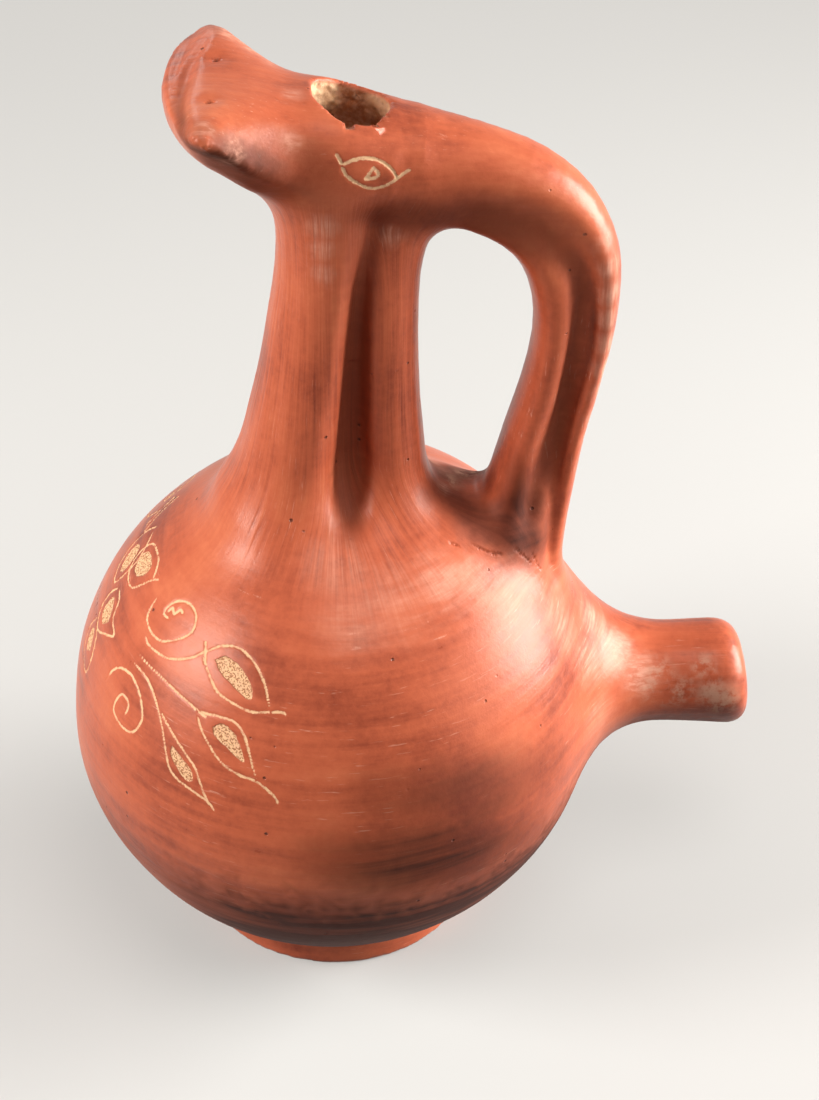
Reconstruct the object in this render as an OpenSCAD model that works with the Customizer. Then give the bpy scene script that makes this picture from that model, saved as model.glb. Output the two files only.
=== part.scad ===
// Hand-built clay water jug in the form of an animal: a round belly on a low flat foot,
// a neck of two coils, a head with a broad upturned snout and a filling hole on top,
// a looped handle behind it and a short stub tail. One fired piece, millimetres.
// The foot stands on the plane z = 0, the snout looks along -X and the tail along +X.

/* [Belly] */
// Greatest radius of the belly, outside
belly_r = 104; // [90:1:130]
// Height of the widest line of the belly above the table
belly_z = 98; // [85:1:120]
// Height of the shoulder above the widest line
belly_rise = 107; // [90:1:125]
// Depth of the bowl below the widest line
belly_drop = 97.5; // [80:0.5:100]
// Sideways lean of the belly toward the tail for each millimetre of height
belly_lean = 0.018; // [0:0.002:0.04]
// Thickness of the clay wall of the belly
wall = 8; // [5:0.5:12]
// Thickness of the clay between the hollow and the flat underside of the foot
floor_t = 14; // [10:0.5:20]

/* [Foot] */
// Radius of the flat foot where it stands
foot_r = 57.5; // [45:0.5:70]
// Height of the foot's upright edge
foot_h = 13; // [8:0.5:18]
// Outward flare of the foot's edge from its top to the table
foot_flare = 1.5; // [0:0.1:4]

/* [Neck] */
// Height from the top of the belly to the middle of the head
neck_h = 144; // [110:1:180]
// Radius of the front coil of the neck
front_r = 20; // [18:0.5:26]
// Half width of the front coil, side to side
front_side = 21; // [18:0.5:28]
// How far the front coil leans forward where it meets the belly
front_lean = 17; // [5:1:25]
// Radius of the back coil of the neck
back_r = 13.5; // [10:0.5:18]
// Distance of the back coil behind the axis of the neck
back_x = 17.5; // [12:0.5:24]
// Radius of the bore inside the neck
bore_r = 12; // [8:0.5:14]
// Place of the bore where it leaves the belly, along the line from snout to tail
bore_low = -6; // [-10:0.5:0]
// Place of the bore where it meets the head, along the line from snout to tail
bore_high = -1; // [-4:0.5:4]
// Radius of the soft fillet where the neck meets the belly
neck_fillet = 18; // [8:1:24]

/* [Head] */
// Half height of the head around the filling hole
head_r = 20; // [17:0.5:26]
// Distance from the neck axis to the tip of the snout
snout_reach = 57.5; // [48:0.5:70]
// Half width of the snout at its corners
snout_w = 36; // [26:0.5:44]
// Height of the snout's lip above the middle of the head
snout_rise = 25; // [10:1:36]
// Depth of the jaw below the lip
jaw_depth = 30; // [22:0.5:36]
// Depth of the mouth groove round the snout
mouth_depth = 2.4; // [1:0.1:4]
// Radius of the filling hole
hole_r = 14; // [8:0.5:15]
// Distance of the filling hole behind the neck axis
hole_x = 2; // [-3:0.5:7]

/* [Handle] */
// Distance from the neck axis to the outermost line of the handle
handle_x = 97; // [85:1:115]
// Distance from the neck axis to the line where the handle lands on the belly
handle_foot_x = 84; // [74:1:92]
// Radius of the round ridge that runs along the back of the handle
ridge_r = 5; // [4:0.25:8]
// Half width of the ridge, side to side
ridge_side = 7; // [5:0.25:10]
// Radius of the inner coil of the handle, front to back
inner_r = 8.7; // [7:0.1:12]
// Half width of the inner coil, side to side
inner_side = 12; // [9:0.5:16]
// Distance between the ridge and the inner coil
coil_gap = 16; // [13:0.5:17]

/* [Tail] */
// Distance from the neck axis to the end of the tail
tail_end = 165; // [135:1:190]
// Height of the tail's axis above the table
tail_z = 103.5; // [95:0.5:115]
// Radius of the tail at its waist
tail_r = 20.5; // [16:0.5:26]
// Radius of the tail at its rounded end
tail_end_r = 22; // [17:0.5:28]
// Reach of the soft fillet where the tail leaves the belly
tail_fillet = 30; // [10:1:36]

/* [Hidden] */

CLAY = [0.66, 0.27, 0.17];
// How far the jaw is drawn in toward a blunt keel
HEAD_KEEL = 0.32;
// Points round the belly, round a coil and round the neck fillet
BELLY_SIDES = 56;
COIL_SIDES = 16;
FILLET_SIDES = 40;
// Steps between two stations of a coil
STEPS = 2;
// Depth by which a coil is sunk into the clay that carries it
SEAT = 8;

shoulder_z = belly_z + belly_rise;
head_z = shoulder_z + neck_h;

function mix(a, b, t) = a + (b - a) * t;

// Height of the belly's upper surface at a distance r from its axis
function belly_top(r) = belly_z + belly_rise * sqrt(max(0, 1 - pow(r / belly_r, 2)));

// Height of the bowl's lower surface at a distance r from its axis
function belly_under(r) = belly_z - belly_drop * sqrt(max(0, 1 - pow(r / belly_r, 2)));

// Smooth curve through four neighbouring stations
function blend(a, b, c, d, t) =
    0.5 * (2 * b + (c - a) * t + (2 * a - 5 * b + 4 * c - d) * t * t + (3 * b - a - 3 * c + d) * pow(t, 3));

// Stations with STEPS smooth steps between each pair
function smooth(rows) = [
    for (i = [0:len(rows) - 2], k = [0:STEPS - 1])
        blend(
            rows[max(0, i - 1)], rows[i], rows[i + 1], rows[min(len(rows) - 1, i + 2)],
            k / STEPS
        ),
    rows[len(rows) - 1]
];

// Direction of the path at station i, as [x, z]
function heading(rows, i) =
    let (
        a = rows[max(0, i - 1)],
        b = rows[min(len(rows) - 1, i + 1)],
        d = [b.x - a.x, b.y - a.y]
    )
    d / norm(d);

// One ring of a coil, square to its path, with its own radius outward, inward and sideways;
// a keel above zero draws the inward side in toward a blunt edge, like the hull of a boat
function ring(row, dir, sides, keel) = [
    for (j = [0:sides - 1])
        let (
            a = 360 * j / sides,
            v = cos(a) * (cos(a) > 0 ? row[2] : row[3]),
            w = sin(a) * (cos(a) > 0 ? 1 : 1 - keel * pow(cos(a), 2))
        )
        [row.x - dir.y * v, row[4] * w, row.y + dir.x * v]
];

// Closed skin over a list of rings of equal length
module skin(rings) {
    n = len(rings[0]);
    last = len(rings) - 1;
    polyhedron(
        points = [for (r = rings, p = r) p],
        faces = concat(
            [[for (j = [n - 1:-1:0]) j]],
            [
                for (i = [0:last - 1], j = [0:n - 1])
                    let (k = (j + 1) % n, a = i * n)
                    each [
                        [a + j, a + n + k, a + n + j],
                        [a + j, a + k, a + n + k]
                    ]
            ],
            [[for (j = [0:n - 1]) last * n + j]]
        ),
        convexity = 6
    );
}

// A coil of clay through stations [x, z, radius outward, radius inward, half width]
module coil(rows, sides = COIL_SIDES, keel = 0) {
    path = smooth(rows);
    skin([for (i = [0:len(path) - 1]) ring(path[i], heading(path, i), sides, keel)]);
}

// Places what is drawn about the belly's own axis, which leans toward the tail
module on_belly_axis() {
    multmatrix([
        [1, 0, belly_lean, -belly_lean * belly_z],
        [0, 1, 0, 0],
        [0, 0, 1, 0]
    ])
        children();
}

// Belly and foot, turned about the upright axis
module belly() {
    waist = foot_r - foot_flare;
    low = asin(waist / belly_r);
    on_belly_axis()
        rotate_extrude($fn = BELLY_SIDES)
            polygon(concat(
                [[0, foot_h]],
                [[waist - 1, foot_h]],
                [for (a = [low:(90 - low) / 9:90]) [belly_r * sin(a), belly_z - belly_drop * cos(a)]],
                [for (a = [8:8:88]) [belly_r * cos(a), belly_z + belly_rise * sin(a)]],
                [[0, shoulder_z]]
            ));
    rotate_extrude($fn = BELLY_SIDES)
        polygon([
            [0, 0],
            [foot_r, 0],
            [waist, foot_h - 1],
            [waist - 3, belly_under(foot_r) + 4],
            [0, belly_under(foot_r) + 4]
        ]);
}

// Hollow of the belly
module belly_hollow() {
    drop = belly_z - floor_t;
    r = belly_r - wall;
    on_belly_axis()
        rotate_extrude($fn = 48)
            polygon(concat(
                [[0, belly_z - drop]],
                [for (a = [12:12:84]) [r * sin(a), belly_z - drop * cos(a)]],
                [for (a = [0:12:84]) [r * cos(a), belly_z + (belly_rise - wall) * sin(a)]],
                [[0, belly_z + belly_rise - wall]]
            ));
}

// Height on the neck at a share t of the way from the belly to the head
function neck_at(t) = shoulder_z + t * neck_h;

// Forward lean of the front coil at a share t of the neck
function lean_at(t) = front_lean * pow(max(0, 1 - t / 0.7), 1.2);

// Front coil of the neck, which carries the bore and bends forward into the jaw
function front_rows() = [
    for (t = [-0.1, 0.04, 0.18, 0.34, 0.5, 0.66, 0.82])
        let (swell = 3.2 * pow(max(0, 0.5 - t), 1.3) / 0.4)
        [
            -1 - lean_at(t), neck_at(t),
            front_r + swell, front_r + swell, front_side + swell
        ],
    [-3, neck_at(0.9), front_r + 4, front_r + 1, front_side],
    [-8, neck_at(0.99), front_r + 8, front_r + 1, front_side]
];

// Back coil of the neck, which bends back into the handle
function back_rows() = [
    [back_x + 2.5, neck_at(-0.1), back_r + 1.5, back_r + 1.5, back_r + 2],
    [back_x + 2.5, neck_at(0.12), back_r + 0.5, back_r + 0.5, back_r + 1],
    [back_x, neck_at(0.4), back_r, back_r, back_r + 0.5],
    [back_x - 0.5, neck_at(0.64), back_r + 0.5, back_r + 0.5, back_r + 0.5],
    [back_x + 2, neck_at(0.78), back_r + 1.5, back_r + 2.5, back_r + 0.5],
    [back_x + 8, neck_at(0.88), back_r + 2.5, back_r + 6, back_r + 0.5]
];

// Distance to the far side of an ellipse seen from the origin along the angle a
function lobe(a, cx, rx, ry) =
    let (
        qa = pow(cos(a) / rx, 2) + pow(sin(a) / ry, 2),
        qb = -2 * cos(a) * cx / (rx * rx),
        qc = pow(cx / rx, 2) - 1,
        disc = qb * qb - 4 * qa * qc
    )
    disc < 0 ? 0 : (-qb + sqrt(disc)) / (2 * qa);

// Soft fillet that runs round both neck coils and lands on the belly's curve
module fillet_of_neck() {
    t_low = 0.06;
    f = front_rows()[1];
    b = back_rows()[1];
    cx = 6;
    skin([
        for (s = [0:6])
            let (
                q = 90 * s / 6,
                out = neck_fillet * (1 - cos(q)),
                up = neck_fillet * (1 - sin(q))
            )
            [
                for (j = [0:FILLET_SIDES - 1])
                    let (
                        a = 360 * j / FILLET_SIDES,
                        core = max(
                            lobe(a, f.x - cx, f[2] - 0.5, f[4] - 0.5),
                            lobe(a, b.x - cx, b[2] - 0.5, b[4] - 0.5)
                        ),
                        r = core + out,
                        x = cx + r * cos(a),
                        y = r * sin(a)
                    )
                    [x, y, belly_top(norm([x, y])) + up - 0.4]
            ],
        [
            for (j = [0:FILLET_SIDES - 1])
                let (a = 360 * j / FILLET_SIDES)
                [cx + 8 * cos(a), 8 * sin(a), shoulder_z - SEAT * 2]
        ]
    ]);
}

// Head and the round ridge that runs on from it, over the bend and down the back of the handle
function head_rows() =
    let (
        lip = head_z + snout_rise,
        bend_z = head_z - 45,
        land_z = belly_top(handle_foot_x) - SEAT,
        reach = handle_x - handle_foot_x
    )
    concat(
        [
            [-snout_reach, lip + 0.5, 2.5, 3, snout_w * 0.3],
            [-snout_reach + 2.5, lip + 0.5, 6, 9, snout_w * 0.58],
            [-snout_reach + 8, lip, 9.5, jaw_depth * 0.6, snout_w * 0.84],
            [-snout_reach + 16.5, lip - 1.5, 12, jaw_depth * 0.93, snout_w],
            [-snout_reach + 27, lip - 6.5, 14, jaw_depth, snout_w * 0.86],
            [-snout_reach + 38.5, mix(head_z, lip, 0.46), head_r - 3.5, jaw_depth * 0.9, mix(head_r, snout_w, 0.31)],
            [-6, mix(head_z, lip, 0.18), head_r - 1.5, head_r + 2, head_r + 1.5],
            [6, head_z, head_r - 0.2, head_r, head_r],
            [20, head_z - 3.7, head_r - 0.7, head_r - 1, head_r - 1],
            [36, head_z - 6.5, head_r - 3, head_r - 3.5, head_r - 3],
            [mix(36, handle_x, 0.26), head_z - 8.8, ridge_r + 9.5, ridge_r + 8, ridge_side + 8],
            [mix(36, handle_x, 0.54), head_z - 14.3, ridge_r + 7, ridge_r + 6.5, ridge_side + 6],
            [mix(36, handle_x, 0.79), head_z - 26.5, ridge_r + 4.8, ridge_r + 4.5, ridge_side + 4],
            [handle_x - 2.8, bend_z, ridge_r + 3, ridge_r + 2.6, ridge_side + 2]
        ],
        [
            for (s = [[0.1, 0.94, 1.5], [0.22, 0.97, 0.3], [0.37, 0.68, 0], [0.5, 0.38, 0], [0.69, 0.15, 0], [0.84, 0, 0], [1, 0, 0.5]])
                [
                    handle_foot_x + reach * s[1], mix(bend_z, land_z, s[0]),
                    ridge_r + s[2], ridge_r + s[2], ridge_side + s[2] + (s[0] > 0.6 ? (s[0] - 0.6) * 5 : 0)
                ]
        ]
    );

// Inner coil of the handle, from under the head round the finger gap and down to its broad foot
function inner_rows() =
    let (
        bend_z = head_z - 45,
        land_z = belly_top(handle_foot_x) - SEAT,
        reach = handle_x - handle_foot_x,
        line = handle_foot_x - coil_gap
    )
    concat(
        [
            [36, head_z - 19, inner_r - 0.7, inner_r - 0.7, inner_side - 3],
            [50, head_z - 25.5, inner_r - 0.2, inner_r - 0.2, inner_side - 2],
            [handle_x - 34, head_z - 30.5, inner_r + 0.7, inner_r + 0.7, inner_side - 1],
            [handle_x - 22.5, head_z - 42, inner_r + 1, inner_r + 1, inner_side]
        ],
        [
            for (s = [[0.1, 0.95, 0.5, 0], [0.22, 0.97, 0, 0], [0.37, 0.71, 0, 0], [0.5, 0.33, 0.1, 0.5], [0.66, 0.02, 1.6, 2], [0.8, -0.15, 3.3, 5], [0.97, -0.15, 5, 8]])
                [
                    line + reach * s[1], mix(bend_z, land_z, s[0]),
                    inner_r + s[2], inner_r + s[2], inner_side + s[3]
                ]
        ]
    );

// Narrow web of clay between the two coils of the handle, which is the floor of its side grooves
function core_rows() =
    let (
        bend_z = head_z - 45,
        land_z = belly_top(handle_foot_x) - SEAT,
        reach = handle_x - handle_foot_x,
        line = handle_foot_x - coil_gap / 2
    )
    concat(
        [
            [handle_x - 36, head_z - 23, 6, 6, 8],
            [handle_x - 16, head_z - 36, 6, 6, 8]
        ],
        [
            for (s = [[0.1, 0.94], [0.22, 0.97], [0.37, 0.68], [0.5, 0.36], [0.69, 0.08], [0.84, -0.1], [1, -0.1]])
                [line + reach * s[1], mix(bend_z, land_z, s[0]), 6, 6, 6.5 + 5 * s[0]]
        ]
    );

// Low saddle of clay that joins the foot of the handle to the back of the neck
module saddle() {
    rest = function (x) belly_top(x) - SEAT;
    coil([
        [back_x + 8, rest(back_x + 8), 12, 10, 13],
        [mix(back_x, handle_foot_x, 0.36), rest(mix(back_x, handle_foot_x, 0.36)) + 2, 11, 10, 13],
        [mix(back_x, handle_foot_x, 0.62), rest(mix(back_x, handle_foot_x, 0.62)) + 6, 12, 12, 15],
        [handle_foot_x - coil_gap, rest(handle_foot_x - coil_gap) + 6, 14, 14, 17]
    ]);
}

// Stub tail: a row of discs joined into one soft trumpet, whose flare touches the belly's curve
module tail() {
    flare_end = sqrt(pow(belly_r + tail_fillet, 2) - pow(tail_r + tail_fillet, 2));
    flare_start = flare_end - tail_fillet * 0.95;
    swell = function (x)
        tail_fillet - sqrt(max(0, pow(tail_fillet, 2) - pow(flare_end - x, 2)));
    stations = concat(
        [[flare_start - SEAT * 2, tail_r + tail_fillet * 0.4]],
        [for (i = [0:6]) let (x = mix(flare_start, flare_end, 1 - cos(90 * i / 6))) [x, tail_r + swell(x)]],
        [
            [mix(flare_end, tail_end, 0.55), mix(tail_r, tail_end_r, 0.6)],
            [tail_end - 8, tail_end_r],
            [tail_end - 3.5, tail_end_r - 1.6],
            [tail_end - 0.8, tail_end_r - 5],
            [tail_end, tail_end_r - 9]
        ]
    );
    for (i = [0:len(stations) - 2])
        hull() {
            tail_disc(stations[i]);
            tail_disc(stations[i + 1]);
        }
}

// One thin upright disc of the tail, a station [x, radius]
module tail_disc(s) {
    translate([s.x, 0, tail_z])
        rotate([0, -90, 0])
            cylinder(h = 0.01, r = s.y, $fn = 32);
}

// Half of the mouth line on the skin of the snout, from its front back along one cheek;
// each entry is a station of the head and an angle down from the top of its ring
function mouth_line(side) =
    let (rows = head_rows())
    [
        for (m = [[1, 0], [1, 62], [2, 70], [3, 77], [4, 84], [5, 92], [6, 98]])
            let (
                row = rows[m.x],
                dir = heading(rows, m.x),
                v = cos(m.y) * (cos(m.y) > 0 ? row[2] : row[3])
            )
            [row.x - dir.y * v, side * row[4] * sin(m.y), row.y + dir.x * v]
    ];

// Mouth groove, drawn with a round tool from the front of the snout back along both cheeks
module mouth() {
    for (side = [-1, 1]) {
        line = mouth_line(side);
        for (i = [0:len(line) - 2])
            hull() {
                translate(line[i])
                    sphere(r = mouth_depth, $fn = 8);
                translate(line[i + 1])
                    sphere(r = i == len(line) - 2 ? mouth_depth * 0.4 : mouth_depth, $fn = 8);
            }
    }
}

// Two small nostrils pressed into the top of the snout
module nostrils() {
    for (side = [-1, 1])
        translate([-snout_reach + 16.5, side * snout_w * 0.47, head_z + snout_rise + 10.5])
            sphere(r = 2.2, $fn = 10);
}

// Path of the neck bore, which leans a little with the front coil
function bore_rows() = [
    for (t = [-0.19, 0.2, 0.6, 0.98])
        [mix(bore_low, bore_high, t), neck_at(t), bore_r, bore_r, bore_r]
];

// Bore of the neck, chamber of the head and the filling hole cut through its top
module channel() {
    coil(bore_rows());
    translate([hole_x - 1, 0, head_z])
        scale([1.2, 1, 0.8])
            sphere(r = min(bore_r + 3, head_r - 5), $fn = 24);
    translate([hole_x, 0, head_z])
        rotate([0, 10, 0])
            cylinder(h = head_r + 10, r = hole_r, $fn = 32);
}

// The jug, one fired piece of clay
module jug() {
    color(CLAY)
        difference() {
            union() {
                belly();
                coil(front_rows(), 20);
                coil(back_rows());
                fillet_of_neck();
                coil(head_rows(), 20, HEAD_KEEL);
                coil(inner_rows());
                coil(core_rows(), 10);
                saddle();
                tail();
            }
            belly_hollow();
            channel();
            mouth();
            nostrils();
        }
}

jug();
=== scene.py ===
"""Looks of a hand-built clay water jug in the form of an animal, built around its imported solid.

The vessel is one skin of fired clay. Its form is worked out as a field of distances in millimetres,
meshed, refined where the potter's tools went in, and dressed with one burnished slip.
"""
import logging
import math
from dataclasses import dataclass, field
from enum import Enum
from functools import cache
from typing import Callable, Iterable, Sequence

import bpy
import numpy as np
from mathutils import Matrix
from mathutils.kdtree import KDTree


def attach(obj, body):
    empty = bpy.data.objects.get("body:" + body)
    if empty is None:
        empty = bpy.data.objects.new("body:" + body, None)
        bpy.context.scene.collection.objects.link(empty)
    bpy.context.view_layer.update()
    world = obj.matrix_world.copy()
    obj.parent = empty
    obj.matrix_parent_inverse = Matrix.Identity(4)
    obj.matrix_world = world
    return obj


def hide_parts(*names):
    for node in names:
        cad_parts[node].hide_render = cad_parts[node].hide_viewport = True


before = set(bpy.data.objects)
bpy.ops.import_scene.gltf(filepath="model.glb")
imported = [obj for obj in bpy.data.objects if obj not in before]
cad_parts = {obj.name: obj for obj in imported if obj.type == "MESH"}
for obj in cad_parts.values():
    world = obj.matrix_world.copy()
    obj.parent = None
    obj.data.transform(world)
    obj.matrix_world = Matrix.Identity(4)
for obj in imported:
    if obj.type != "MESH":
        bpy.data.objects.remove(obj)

log = logging.getLogger("jug")

Array = np.ndarray
Stations = Sequence[Sequence[float]]
Colour = tuple[int, int, int]

MM = 0.001
# The field far away from a part, where it isn't worked out, in millimetres.
FAR = 1e3
# Noise repeats after this many lumps.
NOISE_CELLS = 32
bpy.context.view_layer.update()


def blend(a: Array, b: Array, reach: float | Array) -> Array:
    """Join two fields with a soft fillet.

    Args:
        a: one field at each point.
        b: the other field at each point.
        reach: size of the fillet, which may change from point to point.

    Returns:
        The joined field.
    """
    h = np.maximum(reach - np.abs(a - b), 0.0) / reach
    return np.minimum(a, b) - h * h * reach * 0.25


def carve(a: Array, b: Array, reach: float) -> Array:
    """Cut field b out of field a and leave a rounded edge."""
    return -blend(-a, b, reach)


def ease(x: Array, low: float, high: float) -> Array:
    """Rise smoothly from 0 at low to 1 at high."""
    t = np.clip((x - low) / (high - low), 0.0, 1.0)
    return t * t * (3 - 2 * t)


def spline(rows: Stations, steps: int) -> Array:
    """Run a smooth curve through rows of numbers.

    Args:
        rows: the stations, each of the same length.
        steps: steps between two stations.

    Returns:
        The stations with the steps between them, one row each.
    """
    return _spline(tuple(map(tuple, rows)), steps)


@cache
def _spline(rows: tuple[tuple[float, ...], ...], steps: int) -> Array:
    """Work out the curve of spline, once for each set of rows.

    Args:
        rows: the stations, each of the same length.
        steps: steps between two stations.

    Returns:
        The stations with the steps between them, one row each.
    """
    p = np.array(rows, float)
    p = np.vstack([2 * p[0] - p[1], p, 2 * p[-1] - p[-2]])
    out = []
    for a, b, c, d in zip(p[:-3], p[1:-2], p[2:-1], p[3:]):
        for t in np.linspace(0, 1, steps, endpoint=False):
            out.append(0.5 * (2 * b + (c - a) * t + (2 * a - 5 * b + 4 * c - d) * t ** 2
                              + (3 * b - a - 3 * c + d) * t ** 3))
    out.append(p[-2])
    return np.array(out)


def oval(u: Array, v: Array, w: Array, ru: Array, rv: Array, rw: Array, power: float = 2.0) -> Array:
    """Field of an ellipsoid, or of a squarer body.

    Args:
        u: place along its first axis.
        v: place along its second axis.
        w: place along its third axis.
        ru: half size along the first axis, which may change from point to point, like the others.
        rv: half size along the second axis.
        rw: half size along the third axis.
        power: 2 for an ellipsoid, more for a squarer body.

    Returns:
        The field at each point.
    """
    if power != 2.0:
        k = (np.abs(u / ru) ** power + np.abs(v / rv) ** power + np.abs(w / rw) ** power) ** (1 / power)
        return (k - 1.0) * np.minimum(np.minimum(ru, rv), rw)
    k0 = np.sqrt((u / ru) ** 2 + (v / rv) ** 2 + (w / rw) ** 2) + 1e-9
    k1 = np.sqrt((u / ru ** 2) ** 2 + (v / rv ** 2) ** 2 + (w / rw ** 2) ** 2) + 1e-9
    return k0 * (k0 - 1.0) / k1


def coil(p: Array, rows: Stations, steps: int = 2, power: float = 2.0, margin: float = 45.0) -> Array:
    """Field of a clay coil that runs in the jug's middle plane.

    Args:
        p: points, shape (n, 3).
        rows: stations (x, z, radius outward, radius inward, half width).
        steps: smooth steps between two stations.
        power: 2 for a round coil, more for a squarer one.
        margin: how far from the coil its field is worked out; beyond it is simply far.

    Returns:
        The field at each point.
    """
    path = spline(rows, steps)
    reach = path[:, 2:5].max() + margin
    x, y, z = p[:, 0], p[:, 1], p[:, 2]
    near = ((x > path[:, 0].min() - reach) & (x < path[:, 0].max() + reach)
            & (z > path[:, 1].min() - reach) & (z < path[:, 1].max() + reach) & (np.abs(y) < reach))
    out = np.full(len(p), FAR)
    x, y, z = x[near], y[near], z[near]
    best = np.full(len(x), FAR)
    for a, b in zip(path[:-1], path[1:]):
        d = b[:2] - a[:2]
        length = np.hypot(*d)
        nx, nz = -d[1] / length, d[0] / length
        free = ((x - a[0]) * d[0] + (z - a[1]) * d[1]) / length ** 2
        t = np.clip(free, 0, 1)
        v = (x - a[0] - t * d[0]) * nx + (z - a[1] - t * d[1]) * nz
        up = a[2] + t * (b[2] - a[2])
        down = a[3] + t * (b[3] - a[3])
        wide = a[4] + t * (b[4] - a[4])
        cap = np.minimum(np.minimum(up, down), wide)
        side = np.where(v > 0, up, down)
        best = np.minimum(best, oval(v, y, (free - t) * length, side, wide, cap, power))
    out[near] = best
    return out


def soft_noise(p: Array, size: float, seed: int) -> Array:
    """Smooth value noise, the same on every run.

    Args:
        p: points, shape (n, 3).
        size: size of a lump, in the points' unit.
        seed: which noise.

    Returns:
        A value from -1 to 1 at each point.
    """
    table = np.random.default_rng(seed).uniform(-1, 1, (NOISE_CELLS,) * 3)
    q = p / size
    cell = np.floor(q).astype(int)
    t = q - cell
    t = t * t * (3 - 2 * t)
    out = np.zeros(len(p))
    for corner in np.ndindex(2, 2, 2):
        share = np.prod(np.where(np.array(corner) == 1, t, 1 - t), axis=1)
        i = (cell + corner) % NOISE_CELLS
        out += share * table[i[:, 0], i[:, 1], i[:, 2]]
    return out


@dataclass
class Muzzle:
    """One layer of the broad upturned snout, as upright sections from its tip back to the head."""

    tip: float
    # Where the corners begin to round off toward the tip.
    corner: float
    half_width: float
    # Stations (x, height of the widest line, thickness above it, depth below it, share of the width).
    sections: Stations
    # Roundness of the tip seen from above, 2 for an ellipse.
    plan_power: float = 1.75
    # How fast the outer corners rise with the square of the distance from the middle plane.
    corner_rise: float = 0.0032
    # Slope of the layer up toward the far side.
    skew: float = 0.02
    # Distances in front of the neck between which both of these set in.
    rise_from: tuple[float, float] = (14.0, 46.0)
    # Roundness of the upright sections, 2 for an ellipse.
    squareness: float = 2.1
    # Rounding of the front edge.
    edge: float = 4.0
    # Depth under the widest line over which the field's scale turns from the upper half's to the lower one's.
    even: float = 9.0
    # Turn of the layer toward the near side.
    yaw: float = 0.0

    def field(self, p: Array) -> Array:
        """Field of the layer.

        Args:
            p: points, shape (n, 3).

        Returns:
            The field at each point.
        """
        out = np.full(len(p), FAR)
        behind, below = 40, 290
        near = (p[:, 0] < behind) & (p[:, 2] > below)
        x, y, z = p[near].T
        s = spline(self.sections, 6)
        held = np.clip(x, s[0, 0], s[-1, 0])
        middle, up, down, share = (np.interp(held, s[:, 0], s[:, i]) for i in range(1, 5))
        ahead = x - self.yaw * y
        t = np.clip((self.corner - ahead) / (self.corner - self.tip), 0, 0.9995)
        wide = self.half_width * share * (1 - t ** self.plan_power) ** (1 / self.plan_power)
        raised = (self.corner_rise * y * y + self.skew * y) * ease(-x, *self.rise_from)
        w = z - middle - raised
        power = self.squareness
        half = np.where(w > 0, up, down)
        k = ((np.abs(y) / wide) ** power + (np.abs(w) / half) ** power + 1e-12) ** (1 / power)
        reach = up + (down - up) * ease(-w, 0, self.even)
        d = carve((k - 1) * np.minimum(reach, wide) * 0.75, ahead - self.tip, self.edge)
        out[near] = np.where(x > s[-1, 0], np.maximum(d, x - s[-1, 0]), d)
        return out


@dataclass
class Snout:
    """The snout: a lower jaw with a rounded lip, and a nose that lies on it and ends short of the lip."""

    jaw: Muzzle = field(default_factory=lambda: Muzzle(-58.4, -42.5, 38.0, (
        (-60.0, 370.4, 2.6, 4.5, 1.00), (-57.0, 370.5, 3.9, 7.5, 1.00), (-52.0, 370.2, 4.4, 12.9, 1.00),
        (-48.0, 369.4, 4.8, 15.9, 1.00), (-43.0, 367.8, 5.2, 18.5, 0.98), (-38.0, 365.0, 6.0, 19.5, 0.93),
        (-31.0, 359.2, 7.5, 19.5, 0.84), (-25.0, 354.6, 9.5, 19.1, 0.73), (-16.0, 349.8, 12.0, 16.9, 0.60),
        (-6.0, 347.0, 13.0, 15.0, 0.50), (4.0, 345.9, 12.0, 13.0, 0.42), (14.0, 344.5, 8.0, 9.0, 0.30),
    )))
    nose: Muzzle = field(default_factory=lambda: Muzzle(-53.0, -39.0, 34.5, (
        (-54.0, 371.2, 4.2, 7.0, 1.00), (-51.0, 371.0, 5.2, 8.0, 1.00), (-47.0, 370.8, 6.4, 9.0, 1.00),
        (-43.0, 370.2, 7.4, 9.0, 1.01), (-38.0, 369.0, 8.4, 10.0, 1.00), (-31.0, 365.4, 10.8, 11.0, 0.93),
        (-25.0, 361.6, 13.2, 12.0, 0.84), (-16.0, 356.4, 15.6, 14.0, 0.71), (-6.0, 352.9, 16.5, 16.0, 0.63),
        (4.0, 350.9, 15.0, 15.0, 0.53), (14.0, 347.9, 12.0, 12.0, 0.40), (24.0, 345.5, 6.0, 7.0, 0.22),
    ), corner_rise=0.0048, skew=0.045, squareness=2.6, edge=11.0))
    nose_yaw: float = 0.10
    lip_blend: float = 5.0

    def __post_init__(self) -> None:
        """Turn the nose a little toward the near side."""
        self.nose.yaw = self.nose_yaw

    def field(self, p: Array) -> Array:
        """Field of the snout at points of shape (n, 3)."""
        return blend(self.jaw.field(p), self.nose.field(p), self.lip_blend)


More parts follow.
